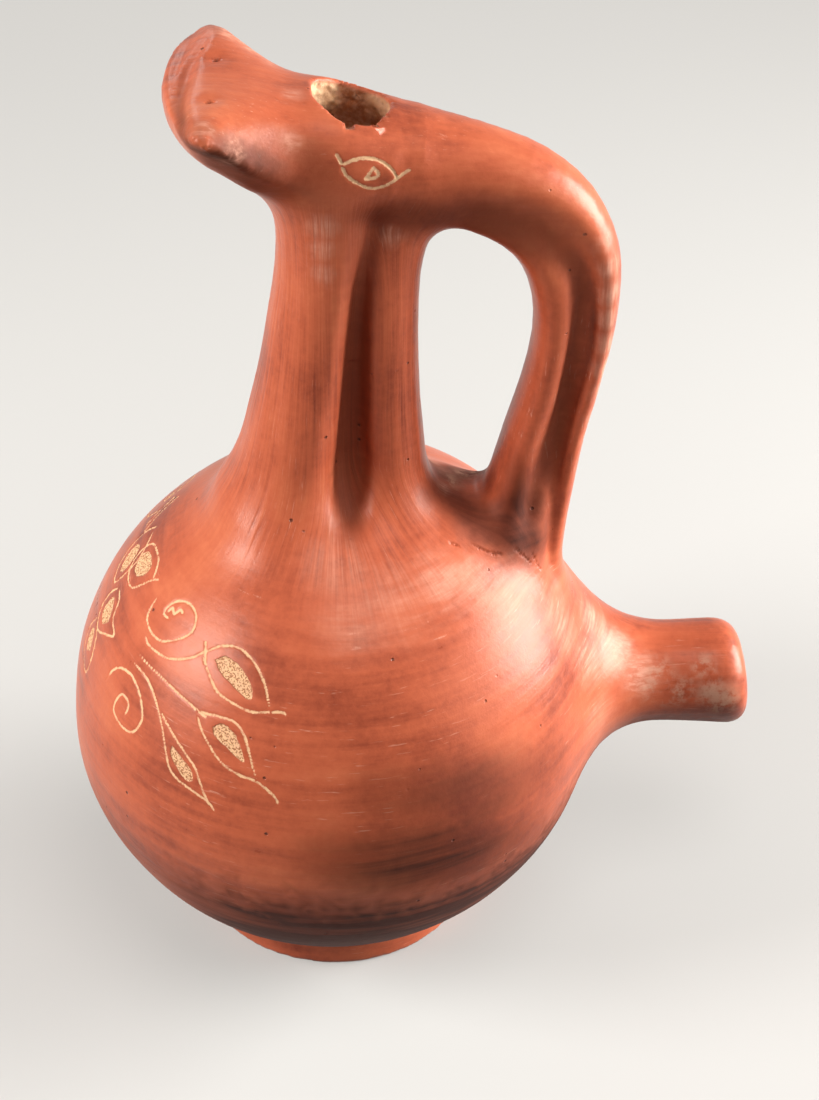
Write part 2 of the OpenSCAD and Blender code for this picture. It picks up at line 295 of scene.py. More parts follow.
@dataclass
class Belly:
    """Ball of the belly on its flat foot, with the bowl inside it."""

    # Half width, height of the middle, and the ball's reach above and below it.
    radius: float = 104.4
    middle: float = 98.0
    rise: float = 107.0
    drop: float = 97.8
    # Shift of the ball toward the tail for each millimetre of height.
    lean: float = 0.018
    foot_radius: float = 57.5
    foot_height: float = 12.5
    foot_taper: float = 0.10
    foot_edge: float = 2.0
    foot_blend: float = 4.0
    wall: float = 8.0
    floor: float = 14.0

    def ball(self, p: Array, inset: float = 0.0) -> Array:
        """Field of the ball, or of the bowl inside it.

        Args:
            p: points, shape (n, 3).
            inset: how far the ball is drawn in, the wall's thickness for the bowl.

        Returns:
            The field at each point.
        """
        z = p[:, 2] - self.middle
        rho = np.hypot(p[:, 0] - self.lean * z, p[:, 1])
        under = self.middle - self.floor if inset else self.drop
        half = np.where(z > 0, self.rise - inset, under)
        k0 = np.sqrt((rho / (self.radius - inset)) ** 2 + (z / half) ** 2) + 1e-9
        k1 = np.sqrt((rho / (self.radius - inset) ** 2) ** 2 + (z / half ** 2) ** 2) + 1e-9
        return k0 * (k0 - 1.0) / k1

    def field(self, p: Array) -> Array:
        """Field of the belly and the foot.

        Args:
            p: points, shape (n, 3).

        Returns:
            The field at each point.
        """
        z = p[:, 2]
        rim = np.hypot(p[:, 0], p[:, 1]) - (self.foot_radius - self.foot_taper * z)
        return blend(self.ball(p), carve(rim, self.foot_height - z, self.foot_edge), self.foot_blend)


@dataclass
class FillingHole:
    """Filling hole in the top of the head, and the bore that runs down from it."""

    x: float = 5.5
    radius: float = 13.8
    tilt: float = 0.12
    top: float = 366.0
    floor: float = 350.0
    # The bore's middle line: its x at the lower and the upper height.
    bore_low: float = -8.0
    bore_high: float = -3.0
    bore_heights: tuple[float, float] = (205.0, 349.0)
    bore_end: float = 180.0
    bore_radius: float = 9.5
    # The chamber's middle (x, z) and its half sizes.
    chamber_middle: tuple[float, float] = (3.5, 348.0)
    chamber_size: tuple[float, float, float] = (17.0, 14.5, 12.0)
    chamber_blend: float = 3.0
    bore_blend: float = 4.0
    ragged: float = 0.3

    def field(self, p: Array) -> Array:
        """Field of the hole, the chamber under it and the bore.

        Args:
            p: points, shape (n, 3).

        Returns:
            The field at each point, below zero in the hollow.
        """
        x, y, z = p[:, 0], p[:, 1], p[:, 2]
        low, high = self.bore_heights
        t = np.clip((z - low) / (high - low), 0, 1)
        across = np.hypot(x - self.bore_low - (self.bore_high - self.bore_low) * t, y)
        bore = np.maximum(across - self.bore_radius, np.maximum(z - self.floor, self.bore_end - z))
        chamber = oval(x - self.chamber_middle[0], y, z - self.chamber_middle[1], *self.chamber_size)
        away = x - self.x - self.tilt * (z - self.top)
        a = np.arctan2(y, away)
        chipped = self.ragged * (np.sin(3 * a + 0.6) + 0.8 * np.sin(7 * a + 2))
        mouth = np.hypot(away, y) - self.radius - chipped
        mouth = np.maximum(mouth, self.floor - z)
        return blend(bore, blend(chamber, mouth, self.chamber_blend), self.bore_blend)


@dataclass
class Form:
    """The whole vessel as one field of clay. Outward on a coil faces the snout on the neck."""

    belly: Belly = field(default_factory=Belly)
    snout: Snout = field(default_factory=Snout)
    hole: FillingHole = field(default_factory=FillingHole)
    # Coils in the middle plane, as stations (x, z, radius outward, radius inward, half width).
    neck_front: Stations = (
        (-18, 200, 25, 18, 28), (-13.5, 220, 22.5, 16, 25), (-10, 240, 21.5, 14.5, 23),
        (-6.5, 260, 21, 13, 22), (-3.5, 280, 20.5, 11.5, 21), (-1, 300, 20, 11, 21),
        (-1, 322, 20, 15, 21), (-6, 345, 21, 21, 20),
    )
    neck_back: Stations = (
        (20, 190, 14, 15, 18), (20, 222, 13, 14, 17), (18.5, 245, 12.5, 13.5, 16.5),
        (17.5, 275, 12, 13, 16.5), (17, 300, 12, 14, 16), (20, 318, 13, 15, 15), (28, 334, 16, 16, 14),
    )
    head: Stations = (
        (-16, 353, 7, 10, 10), (-7, 351.5, 12, 15, 16), (3, 349.4, 16, 18.5, 19.6),
        (12, 347.2, 17.2, 19, 20), (22, 345, 17.6, 19, 19),
        (36, 342.3, 16.2, 16.5, 17.5), (52, 339.2, 13.8, 13, 16), (68.6, 334, 11.4, 11.5, 14.5),
        (84.2, 322.5, 9.4, 8.5, 13), (94.2, 305.4, 7.6, 7.0, 11.5), (97.0, 287.4, 6.2, 5.6, 10.5),
        (96.6, 268, 5.2, 4.8, 10), (92.8, 245.7, 4.9, 4.4, 9.5), (88.8, 225.4, 4.9, 4.2, 9),
        (85.6, 197.3, 4.9, 4.4, 9), (83.6, 173, 5, 5, 9.5), (83, 153, 5.5, 5.5, 10),
    )
    neck_core: Stations = (
        (5, 196, 9, 9, 13), (6, 225, 9, 9, 11), (7, 250, 9, 9, 10), (8, 290, 9, 9, 10), (9, 335, 9, 9, 11),
    )
    handle_inner: Stations = (
        (36, 328, 10, 6, 10), (50, 321.5, 11, 6.5, 11), (62, 316, 11.5, 7.4, 12),
        (72.5, 305.5, 12, 7.8, 12.5), (78.2, 288, 11, 7.2, 12.5), (78.6, 268.4, 9.5, 6.6, 12.5),
        (75.2, 246.4, 9, 6.6, 12.5), (70.2, 226, 9, 6.8, 13), (66.2, 203, 10, 8.3, 15.5),
        (64, 184, 12, 10, 18.5), (64, 168, 14, 12, 20),
    )
    handle_core: Stations = (
        (71, 326, 6, 6, 10), (79.5, 314, 6, 6, 9.5), (87.4, 296, 6, 6, 8),
        (89, 278, 6, 6, 7), (86.8, 257, 6, 6, 6.6), (82.4, 236, 6, 6, 6.8),
        (78, 214, 7, 7, 9), (75, 196, 9, 8, 13.5), (73, 180, 10, 9, 17), (72, 168, 10, 9, 19),
    )
    web: Stations = ((30, 186, 13, 14, 17), (46, 184, 15, 14, 21), (60, 181, 16, 15, 22))
    tail: Stations = (
        (70, 104, 26, 26, 26), (105, 104, 21.3, 21.3, 21), (130, 103.8, 20.5, 20.5, 20.5),
        (150, 103.5, 21, 22, 20.8), (166, 103, 21.5, 23.5, 21.5),
    )
    tail_end: float = 166.8
    tail_slant: float = 0.12
    # Fillets where the parts were pressed together.
    neck_blend: float = 3.5
    handle_blend: float = 3.0
    head_blend: float = 10.0
    snout_blend: float = 9.0
    # Fillet between the handle's coils at its bend, which begins and is full at these heights.
    bend_blend: float = 12.0
    bend_heights: tuple[float, float] = (278.0, 312.0)
    # Heights between which the handle's join turns from the shoulder's fillet to the head's.
    join_heights: tuple[float, float] = (235.0, 290.0)
    web_blend: float = 8.0
    web_square: float = 2.5
    shoulder_blend: float = 22.0
    heel_blend: float = 9.0
    tail_blend: float = 34.0
    tail_blend_under: float = 26.0
    # Heights between which the tail's fillet turns from the one under it to the one over it.
    tail_heights: tuple[float, float] = (82.0, 112.0)
    tail_round: float = 12.0
    bowl_blend: float = 6.0
    rim_round: float = 1.4
    foot_round: float = 1.6

    def outside(self, p: Array) -> Array:
        """Field of the clay without its hollow.

        Args:
            p: points, shape (n, 3).

        Returns:
            The field at each point.
        """
        neck = blend(coil(p, self.neck_front), coil(p, self.neck_back), self.neck_blend)
        neck = blend(neck, coil(p, self.neck_core), self.neck_blend)
        bent = ease(p[:, 2], *self.bend_heights)
        seam = self.handle_blend + (self.bend_blend - self.handle_blend) * bent
        handle = blend(coil(p, self.handle_inner), coil(p, self.head, 3), seam)
        handle = blend(handle, coil(p, self.handle_core), self.handle_blend)
        head = blend(neck, self.snout.field(p), self.snout_blend)
        heel = blend(handle, coil(p, self.web, 2, self.web_square), self.web_blend)
        d = blend(self.belly.field(p), head, self.shoulder_blend)
        high = ease(p[:, 2], *self.join_heights)
        d = blend(d, heel, self.heel_blend + (self.head_blend - self.heel_blend) * high)
        end = self.tail_end - self.tail_slant * (p[:, 2] - self.belly.middle) - p[:, 0]
        tail = carve(coil(p, self.tail, 4), end, self.tail_round)
        above = ease(p[:, 2], *self.tail_heights)
        reach = self.tail_blend_under + (self.tail_blend - self.tail_blend_under) * above
        return carve(blend(d, tail, reach), p[:, 2], self.foot_round)

    def inside(self, p: Array) -> Array:
        """Field of the hollow: bowl, neck bore, head chamber and filling hole."""
        return blend(self.belly.ball(p, self.belly.wall), self.hole.field(p), self.bowl_blend)

    def whole(self, p: Array) -> Array:
        """Field of the fired clay, hollow and all."""
        return carve(self.outside(p), self.inside(p), self.rim_round)


Field = Callable[[Array], Array]


def slope(fun: Field, p: Array, h: float = 0.25) -> tuple[Array, Array]:
    """Value and unit slope of a field.

    Args:
        fun: the field.
        p: points, shape (n, 3).
        h: half the length of the step that the slope is taken over.

    Returns:
        The field at each point, and the direction in which it grows fastest.
    """
    value = np.zeros(len(p))
    grown = np.zeros_like(p)
    for k in ((1, -1, -1), (-1, -1, 1), (-1, 1, -1), (1, 1, 1)):
        v = fun(p + h * np.array(k))
        value += v / 4
        grown += v[:, None] * np.array(k)
    return value, grown / (np.linalg.norm(grown, axis=1)[:, None] + 1e-12)


@dataclass
class Skin:
    """A closed skin of triangles, in millimetres."""

    points: Array
    faces: Array

    @classmethod
    def around(cls, fun: Field, low: Sequence[float], high: Sequence[float], step: float) -> "Skin":
        """Wrap a field with one point in each cell that its surface crosses.

        Args:
            fun: the field.
            low: lowest corner of the grid.
            high: highest corner of the grid.
            step: size of a cell.

        Returns:
            The skin, before it is settled on the field.
        """
        axes = [np.arange(low[i], high[i] + step, step) for i in range(3)]
        size = [len(a) for a in axes]
        f = np.empty(size)
        sheet = np.stack(np.meshgrid(axes[1], axes[2], indexing="ij"), -1).reshape(-1, 2)
        for i, x in enumerate(axes[0]):
            f[i] = fun(np.column_stack([np.full(len(sheet), x), sheet])).reshape(size[1:])
        solid = f < 0
        count = np.zeros([n - 1 for n in size], int)
        for c in np.ndindex(2, 2, 2):
            count += solid[tuple(slice(c[q], size[q] - 1 + c[q]) for q in range(3))]
        cell = np.stack(np.nonzero((count > 0) & (count < 8)), 1)
        number = np.full(count.shape, -1)
        number[tuple(cell.T)] = np.arange(len(cell))
        total = np.zeros((len(cell), 3))
        hits = np.zeros(len(cell))
        for a in np.ndindex(2, 2, 2):
            for axis in range(3):
                if a[axis]:
                    continue
                b = list(a)
                b[axis] = 1
                fa = f[tuple((cell + a).T)]
                fb = f[tuple((cell + b).T)]
                cut = (fa < 0) != (fb < 0)
                t = np.where(cut, fa / np.where(cut, fa - fb, 1), 0)
                place = np.array(a) + t[:, None] * (np.array(b) - a)
                total[cut] += place[cut]
                hits[cut] += 1
        points = (cell + total / hits[:, None]) * step + np.array(low)
        quads = [cls._quads(solid, number, axis) for axis in range(3)]
        return cls(points, cls._halves(points, np.concatenate(quads)))

    @staticmethod
    def _quads(solid: Array, number: Array, axis: int) -> Array:
        """Quads across every grid line of one axis that goes in or out of the solid.

        Args:
            solid: truth of being inside at each grid point.
            number: the skin's point in each cell, or -1.
            axis: the grid lines' axis, 0 to 2.

        Returns:
            Four point numbers for each quad.
        """
        first = [slice(1, n - 1) for n in solid.shape]
        first[axis] = slice(0, solid.shape[axis] - 1)
        second = list(first)
        second[axis] = slice(1, solid.shape[axis])
        inner = solid[tuple(first)]
        place = np.nonzero(inner != solid[tuple(second)])
        at = [i + 1 for i in place]
        at[axis] = place[axis]
        u, v = [q for q in range(3) if q != axis]
        corners = []
        for du, dv in ((1, 1), (0, 1), (0, 0), (1, 0)):
            c = [i.copy() for i in at]
            c[u] -= du
            c[v] -= dv
            corners.append(number[tuple(c)])
        quad = np.stack(corners, 1)
        flip = inner[place] ^ (axis == 1)
        return np.where(flip[:, None], quad, quad[:, ::-1])

    @staticmethod
    def _halves(points: Array, quads: Array) -> Array:
        """Cut each quad in two triangles along its shorter diagonal.

        Args:
            points: places of the skin's points.
            quads: four point numbers for each quad.

        Returns:
            Three point numbers for each triangle.
        """
        a, b, c, d = quads.T
        short = (np.linalg.norm(points[a] - points[c], axis=1)
                 < np.linalg.norm(points[b] - points[d], axis=1))[:, None]
        one = np.where(short, np.stack([a, b, c], 1), np.stack([a, b, d], 1))
        two = np.where(short, np.stack([a, c, d], 1), np.stack([b, c, d], 1))
        return np.concatenate([one, two])

    def settle(self, fun: Field, chosen: Array | slice = slice(None), passes: int = 2) -> None:
        """Move points onto the field's surface.

        Args:
            fun: the field.
            chosen: which points.
            passes: how often they are moved.
        """
        furthest = 1.5
        for _ in range(passes):
            value, up = slope(fun, self.points[chosen])
            self.points[chosen] -= np.clip(value, -furthest, furthest)[:, None] * up

    def centres(self) -> Array:
        """Middle of each triangle."""
        return self.points[self.faces].mean(1)

    def longest(self) -> Array:
        """Longest edge of each triangle."""
        p = self.points[self.faces]
        return np.linalg.norm(p - np.roll(p, -1, 1), axis=2).max(1)

    def split(self, marked: Array, fun: Field) -> None:
        """Split marked triangles in four and their neighbours to match, and settle the new points.

        Args:
            marked: one truth value for each triangle.
            fun: the field that the new points are settled on.
        """
        f = self.faces
        total = len(self.points)
        ends = np.sort(np.stack([f, np.roll(f, -1, 1)], -1), -1)
        edge, place = np.unique(ends[..., 0] * total + ends[..., 1], return_inverse=True)
        place = place.reshape(-1, 3)
        cut = np.zeros(len(edge), bool)
        cut[place[marked].ravel()] = True
        number = np.full(len(edge), -1)
        number[cut] = total + np.arange(cut.sum())
        new = (self.points[edge[cut] // total] + self.points[edge[cut] % total]) / 2
        self.points = np.vstack([self.points, new])
        m = number[place]
        cuts = (m >= 0).sum(1)
        out = [f[cuts == 0]]
        a, b, c = f[cuts == 3].T
        x, y, z = m[cuts == 3].T
        out += [np.stack(t, 1) for t in ((a, x, z), (x, b, y), (z, y, c), (x, y, z))]
        for k in range(3):
            a, b, c = f[:, k], f[:, (k + 1) % 3], f[:, (k + 2) % 3]
            x, y, z = m[:, k], m[:, (k + 1) % 3], m[:, (k + 2) % 3]
            one = (cuts == 1) & (x >= 0)
            out += [np.stack(t, 1)[one] for t in ((a, x, c), (x, b, c))]
            two = (cuts == 2) & (x < 0)
            out += [np.stack(t, 1)[two] for t in ((a, b, y), (a, y, z), (z, y, c))]
        self.faces = np.concatenate(out)
        self.settle(fun, slice(total, None))


class Tool(Enum):
    """What the potter cut the clay with: half width and depth of its groove, in millimetres."""

    STYLUS = (0.52, 0.4)
    BLADE = (0.9, 1.2)
    FINGERTIP = (3.0, 2.8)
    THUMB = (5.5, 2.6)

    @property
    def half_width(self) -> float:
        """Half width of the groove that the tool leaves."""
        return self.value[0]

    @property
    def depth(self) -> float:
        """Depth of the groove that the tool leaves."""
        return self.value[1]


@dataclass
class Groove:
    """A groove along a line on the clay, with a share of the tool's width and depth at each point."""

    tool: Tool
    line: Array
    width: Array
    press: Array


@dataclass
class Patch:
    """A filled patch inside an outline on the clay."""

    outline: Array

    def edge(self, p: Array) -> Array:
        """Distance to the outline, worked out close to the patch.

        Args:
            p: points, shape (n, 3).

        Returns:
            The distance of each point, below zero inside the outline.
        """
        margin = 6.0
        middle = self.outline.mean(0)
        out = np.full(len(p), FAR)
        reach = np.linalg.norm(self.outline - middle, axis=1).max()
        near = np.linalg.norm(p - middle, axis=1) < reach + margin
        if not near.any():
            return out
        flat = np.linalg.svd(self.outline - middle)[2][:2].T
        q = (p[near] - middle) @ flat
        a = (self.outline - middle) @ flat
        b = np.roll(a, -1, 0)
        best = np.full(len(q), FAR)
        inside = np.zeros(len(q), bool)
        for u, v in zip(a, b):
            d = v - u
            t = np.clip(((q - u) @ d) / max(d @ d, 1e-9), 0, 1)
            best = np.minimum(best, np.linalg.norm(q - u - t[:, None] * d, axis=1))
            crosses = (u[1] > q[:, 1]) != (v[1] > q[:, 1])
            rise = v[1] - u[1] if v[1] != u[1] else 1e-9
            inside ^= crosses & (q[:, 0] < u[0] + (q[:, 1] - u[1]) * d[0] / rise)
        out[near] = np.where(inside, -best, best)
        return out


class Side(Enum):
    """Sides of the vessel, as the sign of y."""

    NEAR = -1
    FAR = 1


@dataclass
class Chart:
    """Places on one side of the vessel, by angles about the belly or by a side view of the head."""

    form: Form
    side: Side
    # Distances outside the clay from which a line is brought down on it, and the share of each step.
    belly_start: float = 190.0
    cheek_start: float = 70.0
    step: float = 0.8

    def on_belly(self, marks: Stations, steps: int = 10) -> Array:
        """Run a line over the belly.

        Args:
            marks: (turn, height) in degrees, the turn from the snout's side toward the chart's side.
            steps: smooth steps between two marks.

        Returns:
            Points on the clay, shape (n, 3).
        """
        turn, lift = np.radians(spline(marks, steps)).T
        ray = np.stack([-np.cos(lift) * np.cos(turn), np.cos(lift) * np.sin(turn) * self.side.value,
                        np.sin(lift)], 1)
        start = np.array([0, 0, self.form.belly.middle])
        reach = np.full(len(ray), self.belly_start)
        for _ in range(40):
            reach -= self.form.outside(start + ray * reach[:, None]) * self.step
        return start + ray * reach[:, None]

    def on_cheek(self, marks: Stations, steps: int = 8) -> Array:
        """Run a line over the side of the head.

        Args:
            marks: (x, z) in the side view.
            steps: smooth steps between two marks.

        Returns:
            Points on the clay, shape (n, 3).
        """
        x, z = spline(marks, steps).T
        p = np.stack([x, np.full(len(x), self.cheek_start * self.side.value), z], 1)
        for _ in range(60):
            p[:, 1] -= np.clip(self.form.outside(p), -2, 4) * self.step * self.side.value
        return p

    def near(self, marks: Stations, steps: int = 6) -> Array:
        """Run a line through places near the clay and settle it there.

        Args:
            marks: (x, distance from the middle plane toward the chart's side, z).
            steps: smooth steps between two marks.

        Returns:
            Points on the clay, shape (n, 3).
        """
        p = spline(marks, steps) * (1, self.side.value, 1)
        for _ in range(4):
            value, up = slope(self.form.outside, p)
            p = p - value[:, None] * up
        return p


def groove(tool: Tool, line: Array, fade: float = 0.05, width: float = 1.0) -> Groove:
    """Draw a groove that runs thin at both ends.

    Args:
        tool: what cuts it.
        line: points on the clay, shape (n, 3).
        fade: share of the line over which it thins out at each end.
        width: share of the tool's own width.

    Returns:
        The groove.
    """
    t = np.linspace(0, 1, len(line))
    end = ease(np.minimum(t, 1 - t), -0.02, max(fade, 0.01))
    return Groove(tool, line, width * (0.55 + 0.45 * end), end)


@dataclass
class Leaf:
    """One leaf of the scratched sprig: its outlines and its stippled core, in degrees on the belly."""

    lines: Sequence[Stations]
    core: Stations


@dataclass
class Sprig:
    """Sprig of leaves and spirals scratched through the slip on both sides of the chest."""

    leaves: Sequence[Leaf] = (
        Leaf(
            (
                ((26.7, 38.4), (29.8, 37.7), (37.6, 38.4), (44.1, 41.1), (47.2, 43.3), (52, 46.3),
                 (57.6, 47.3), (63.1, 45.8), (67.7, 42.3), (71, 36.7)),
                ((47.2, 43.3), (52.3, 39.9), (56, 37.6), (61.7, 36.4), (66.1, 35.9), (71, 36.7),
                 (74.1, 37), (75.2, 36.3)),
            ),
            ((52, 43.3), (54.7, 44.8), (59.8, 44), (63.6, 41.8), (65.4, 39.8), (64.8, 38.1),
             (59.2, 39.9), (54.7, 41.5)),
        ),
        Leaf(
            (
                ((27.7, 34.6), (38.6, 34.4), (46.1, 33.5), (51.7, 32.5), (55.5, 31.7)),
                ((52.1, 32.3), (57.9, 33), (62.3, 33), (65.1, 31.3), (66.8, 28.7), (69.9, 22.1)),
                ((52.3, 31.7), (55.6, 28.2), (61, 24.1), (65.7, 22.5), (69.9, 21.9), (74, 19.4),
                 (74.9, 17.7)),
            ),
            ((57.1, 30.4), (59.6, 31.9), (63.5, 30.3), (66.2, 26.5), (66, 25.4), (62.2, 27.2),
             (58.3, 28.9)),
        ),
        Leaf(
            (
                ((26, 32.3), (33.7, 32.2), (38.8, 30.2), (43.4, 26.2), (46.4, 21.7), (48.5, 18.1),
                 (51.1, 16.5), (55.3, 15.5), (59.5, 14.2), (61.4, 12.2)),
                ((42.5, 28.1), (47.7, 25.2), (52.2, 22.7), (55.4, 20.4), (57.6, 16.8), (59.9, 13.5)),
            ),
            ((48.1, 23), (51.7, 21.4), (54.2, 19.9), (55.1, 17.7), (53, 17.3), (50, 19.3), (48, 21.4)),
        ),
    )
    curls: Sequence[Stations] = (
        ((21, 23.4), (22.1, 26.8), (25, 29.1), (29.6, 29.9), (33.9, 28.5), (36.7, 26.1), (37.8, 23.3),
         (35.9, 19.8), (31.8, 19.1), (28.1, 20.2), (27.6, 22.4), (28.9, 24.9), (31.6, 24.9),
         (32.5, 23.5), (32, 21.4)),
        ((20.7, 47.1), (23.1, 41.3), (29.7, 39.9), (34.7, 41.1), (40.3, 45.2), (39.4, 48.6),
         (34.9, 50), (30.1, 49.1), (27.6, 46.7), (27.9, 44.8), (31.4, 44.8)),
        ((28.6, 45.5), (29.5, 46.9), (31.4, 46.3), (32.4, 47.8), (34.2, 47.6)),
        ((46.4, 45.8), (48, 43.8), (49.8, 41.3)),
    )

    def marks(self, chart: Chart) -> tuple[list[Groove], list[Patch]]:
        """Scratch the lines and stippled cores of one side.

        Args:
            chart: places on that side.

        Returns:
            The grooves and the patches.
        """
        lines = [line for leaf in self.leaves for line in leaf.lines] + list(self.curls)
        cut = [groove(Tool.STYLUS, chart.on_belly(line)) for line in lines]
        return cut, [Patch(chart.on_belly(leaf.core, 4)) for leaf in self.leaves]


@dataclass
class ChestLeaves(Sprig):
    """Four small leaves scratched one under the other down the middle of the chest."""

    leaves: Sequence[Leaf] = (
        Leaf(
            (((16.7, 48.1), (13.8, 46.4), (8.3, 40.6), (0.7, 40.4), (-3.2, 43.7), (-2.1, 48),
              (6.5, 49.4), (11.6, 48.1), (13.8, 46.4)),),
            ((6.6, 42.6), (1.4, 42.4), (-1.2, 45.3), (2, 47.4), (8.1, 47.2), (9, 44.8)),
        ),
        Leaf(
            (((-9.9, 48.9), (-12, 45), (-11, 40), (-7.5, 36), (-2, 34.6), (-0.1, 38.4), (-0.3, 43.1),
              (-3.8, 45.9), (-9.2, 47.5)),),
            ((-3.7, 36.6), (-7.4, 38.5), (-8.9, 42.3), (-5.5, 43.6), (-2.4, 41.1), (-2, 37.9)),
        ),
        Leaf(
            (((3, 36.7), (0.5, 33), (1, 29), (5.6, 26.4), (11.2, 28.9), (15.1, 31.4), (10.3, 32.8),
              (7.4, 36), (3, 36.7)),),
            ((7.1, 28.6), (3.3, 29.6), (2.9, 32.7), (4.1, 34.6), (7.6, 33.1), (9.4, 30.9)),
        ),
        Leaf(
            (((2.6, 27.3), (0.6, 23.2), (2.6, 19.2), (8.9, 16.6), (10.4, 20.4), (7.9, 25.1), (2.6, 27.3)),),
            ((5.6, 19.8), (3.2, 21.6), (3.1, 24.8), (5.5, 24.6), (7.7, 21.5)),
        ),
    )
    curls: Sequence[Stations] = (
        ((-12.5, 43.6), (-18.5, 48), (-24, 52)),
        ((-16, 43.4), (-20.5, 46.8), (-25, 50.2)),
    )


@dataclass
class AnimalFace:
    """Eyes scratched on both cheeks, the mouth's groove round the snout and two nostrils."""

    eye: Sequence[Stations] = (
        ((-0.4, 357.9), (0.6, 356.2), (1.5, 354.2)),
        ((1.5, 354.1), (5.6, 355.2), (9.3, 355.3), (14.1, 353.8), (18.2, 350.6), (20.3, 347)),
        ((1.5, 353.7), (2.9, 350.6), (6.3, 347.2), (11.4, 344.2), (15.8, 344.4), (20.3, 346.8),
         (22.7, 348.3), (25.1, 349.4)),
    )
    pupil: Stations = (
        (9.6, 348.2), (9.7, 348.4), (11.4, 350.7), (12.4, 351.6), (12.6, 351.5), (13.8, 349.8),
        (13.7, 348.6), (11.8, 347.9), (9.9, 348.1), (9.6, 348.2),
    )
    # Stations (x, distance toward the near side, z) from the far corner round to the near one.
    mouth: Stations = (
        (-20, -26, 352), (-27.5, -31, 360), (-33, -35, 367), (-37.5, -35, 374), (-40.5, -28, 379.5),
        (-43, -21.5, 379), (-46, -12.2, 378.2), (-48.4, -4.6, 377.4), (-50.3, 5.3, 376.6),
        (-51.4, 13.3, 375.4),
        (-51.6, 22.5, 374.9), (-50, 30.7, 374.4), (-46.7, 36.1, 374), (-41.9, 39, 373), (-37.1, 38.5, 370),
        (-32.4, 35.9, 365.4), (-27.5, 32, 359.7), (-23.2, 28.5, 355), (-19.2, 25.8, 351.4),
    )
    # Share of the fingertip's width and depth at each station of the mouth.
    mouth_width: Sequence[float] = (
        1.0, 1.1, 1.2, 1.2, 1.2, 1.1, 1.1, 1.1, 1.1, 1.1, 1.2, 1.2, 1.2, 1.2, 1.2, 1.2, 1.2, 1.1, 1.0,
    )
    mouth_press: Sequence[float] = (
        0.0, 0.0, 0.02, 0.08, 0.2, 0.3, 0.36, 0.42, 0.48, 0.52, 0.52, 0.42, 0.22, 0.06, 0.01, 0.0, 0.0, 0.0,
        0.0,
    )
    nostrils: Sequence[tuple[float, float, float]] = ((-41.7, 20, 377.6), (-39.2, -9, 378.2))
    nostril_length: float = 1.6

    def lines(self, chart: Chart) -> tuple[list[Groove], list[Patch]]:
        """Scratched lines of one eye, and no patches."""
        lines = (*self.eye, self.pupil)
        return [groove(Tool.STYLUS, chart.on_cheek(line), 0.04, 1.2) for line in lines], []

    def snout(self, chart: Chart) -> list[Groove]:
        """Press in the mouth and the nostrils.

        Args:
            chart: places on the near side.

        Returns:
            The grooves.
        """
        steps = 10
        share = spline(tuple(zip(self.mouth_width, self.mouth_press)), steps)
        press = np.clip(share[:, 1], 0, None)
        cut = [Groove(Tool.FINGERTIP, chart.near(self.mouth, steps), share[:, 0], press)]
        half = self.nostril_length / 2
        for x, y, z in self.nostrils:
            pit = chart.near(((x - half, y + 0.4, z), (x, y, z), (x + half, y - 0.4, z)), 4)
            cut.append(Groove(Tool.BLADE, pit, np.full(len(pit), 1.4), np.full(len(pit), 2.0)))
            cut.append(Groove(Tool.THUMB, pit, np.full(len(pit), 0.9), np.full(len(pit), 0.35)))
        return cut


@dataclass
class CoilGrooves:
    """Grooves drawn with the thumb between two coils, down both sides of the neck and of the handle."""

    # Stations (x, distance from the middle plane, z, share of the thumb's width, share of its depth).
    runs: Sequence[Stations] = (
        (
            (6.6, 19, 332, 1.0, 0.02), (6.4, 17.5, 318, 1.15, 0.3), (6.2, 14.2, 297, 1.3, 0.6),
            (5.8, 11.2, 268, 1.35, 0.75), (5.3, 10.5, 240, 1.35, 0.8), (5, 11, 227, 1.35, 0.85),
            (4.8, 14, 214, 1.4, 1.1), (4.4, 20.8, 206, 1.45, 1.1), (3.8, 29.6, 201, 1.5, 0.5),
            (3.2, 38, 197, 1.5, 0.05),
        ),
        (
            (83.5, 12, 312, 0.9, 0.01), (85.3, 10.5, 303, 0.9, 0.12), (86.6, 9.4, 292, 0.85, 0.32),
            (87, 8.8, 279, 0.8, 0.58),
            (86.4, 8.2, 262, 0.8, 0.75), (84.8, 7.4, 244, 0.85, 0.8), (82.6, 7.6, 228, 0.95, 0.7),
            (79.6, 9.5, 214, 1.1, 0.5), (76.5, 13, 202, 1.3, 0.2), (75, 16, 192, 1.4, 0.02),
        ),
    )

    def marks(self, chart: Chart) -> tuple[list[Groove], list[Patch]]:
        """Draw the grooves of one side.

        Args:
            chart: places on that side.

        Returns:
            The grooves, and no patches.
        """
        cut = []
        for run in self.runs:
            share = spline([row[3:] for row in run], 10)
            line = chart.near([row[:3] for row in run], 10)
            cut.append(Groove(Tool.THUMB, line, share[:, 0], np.clip(share[:, 1], 0, None)))
        return cut, []


@dataclass
class FingerNicks:
    """Nicks and cuts left where the handle was pressed on to the shoulder, near side."""

    cuts: Sequence[Stations] = (
        ((49.4, 24.6, 192.4), (55.5, 25.5, 189.5), (62, 25.8, 186.1)),
        ((41, 27, 196), (46.5, 27.5, 194)),
        ((57, 26.5, 190), (63.5, 26, 187)),
        ((66.1, 22.5, 188.1), (72.9, 21.9, 181)),
        ((69, 23.5, 186), (76, 21.5, 178)),
        ((75, 21, 184), (80.2, 19.1, 172.2)),
    )

    def marks(self, chart: Chart) -> list[Groove]:
        """The cuts as thin blade grooves."""
        return [groove(Tool.BLADE, chart.near(c), 0.3, 0.6) for c in self.cuts]


class Trace(Enum):
    """Marks on the slip, each one attribute of the skin: pale scuffs that are partly painted highlight,
    rubbed patches, and painted shade.
    """

    SCUFF = "scuff"
    RUBBED = "rubbed"
    SMOKE = "smoke"


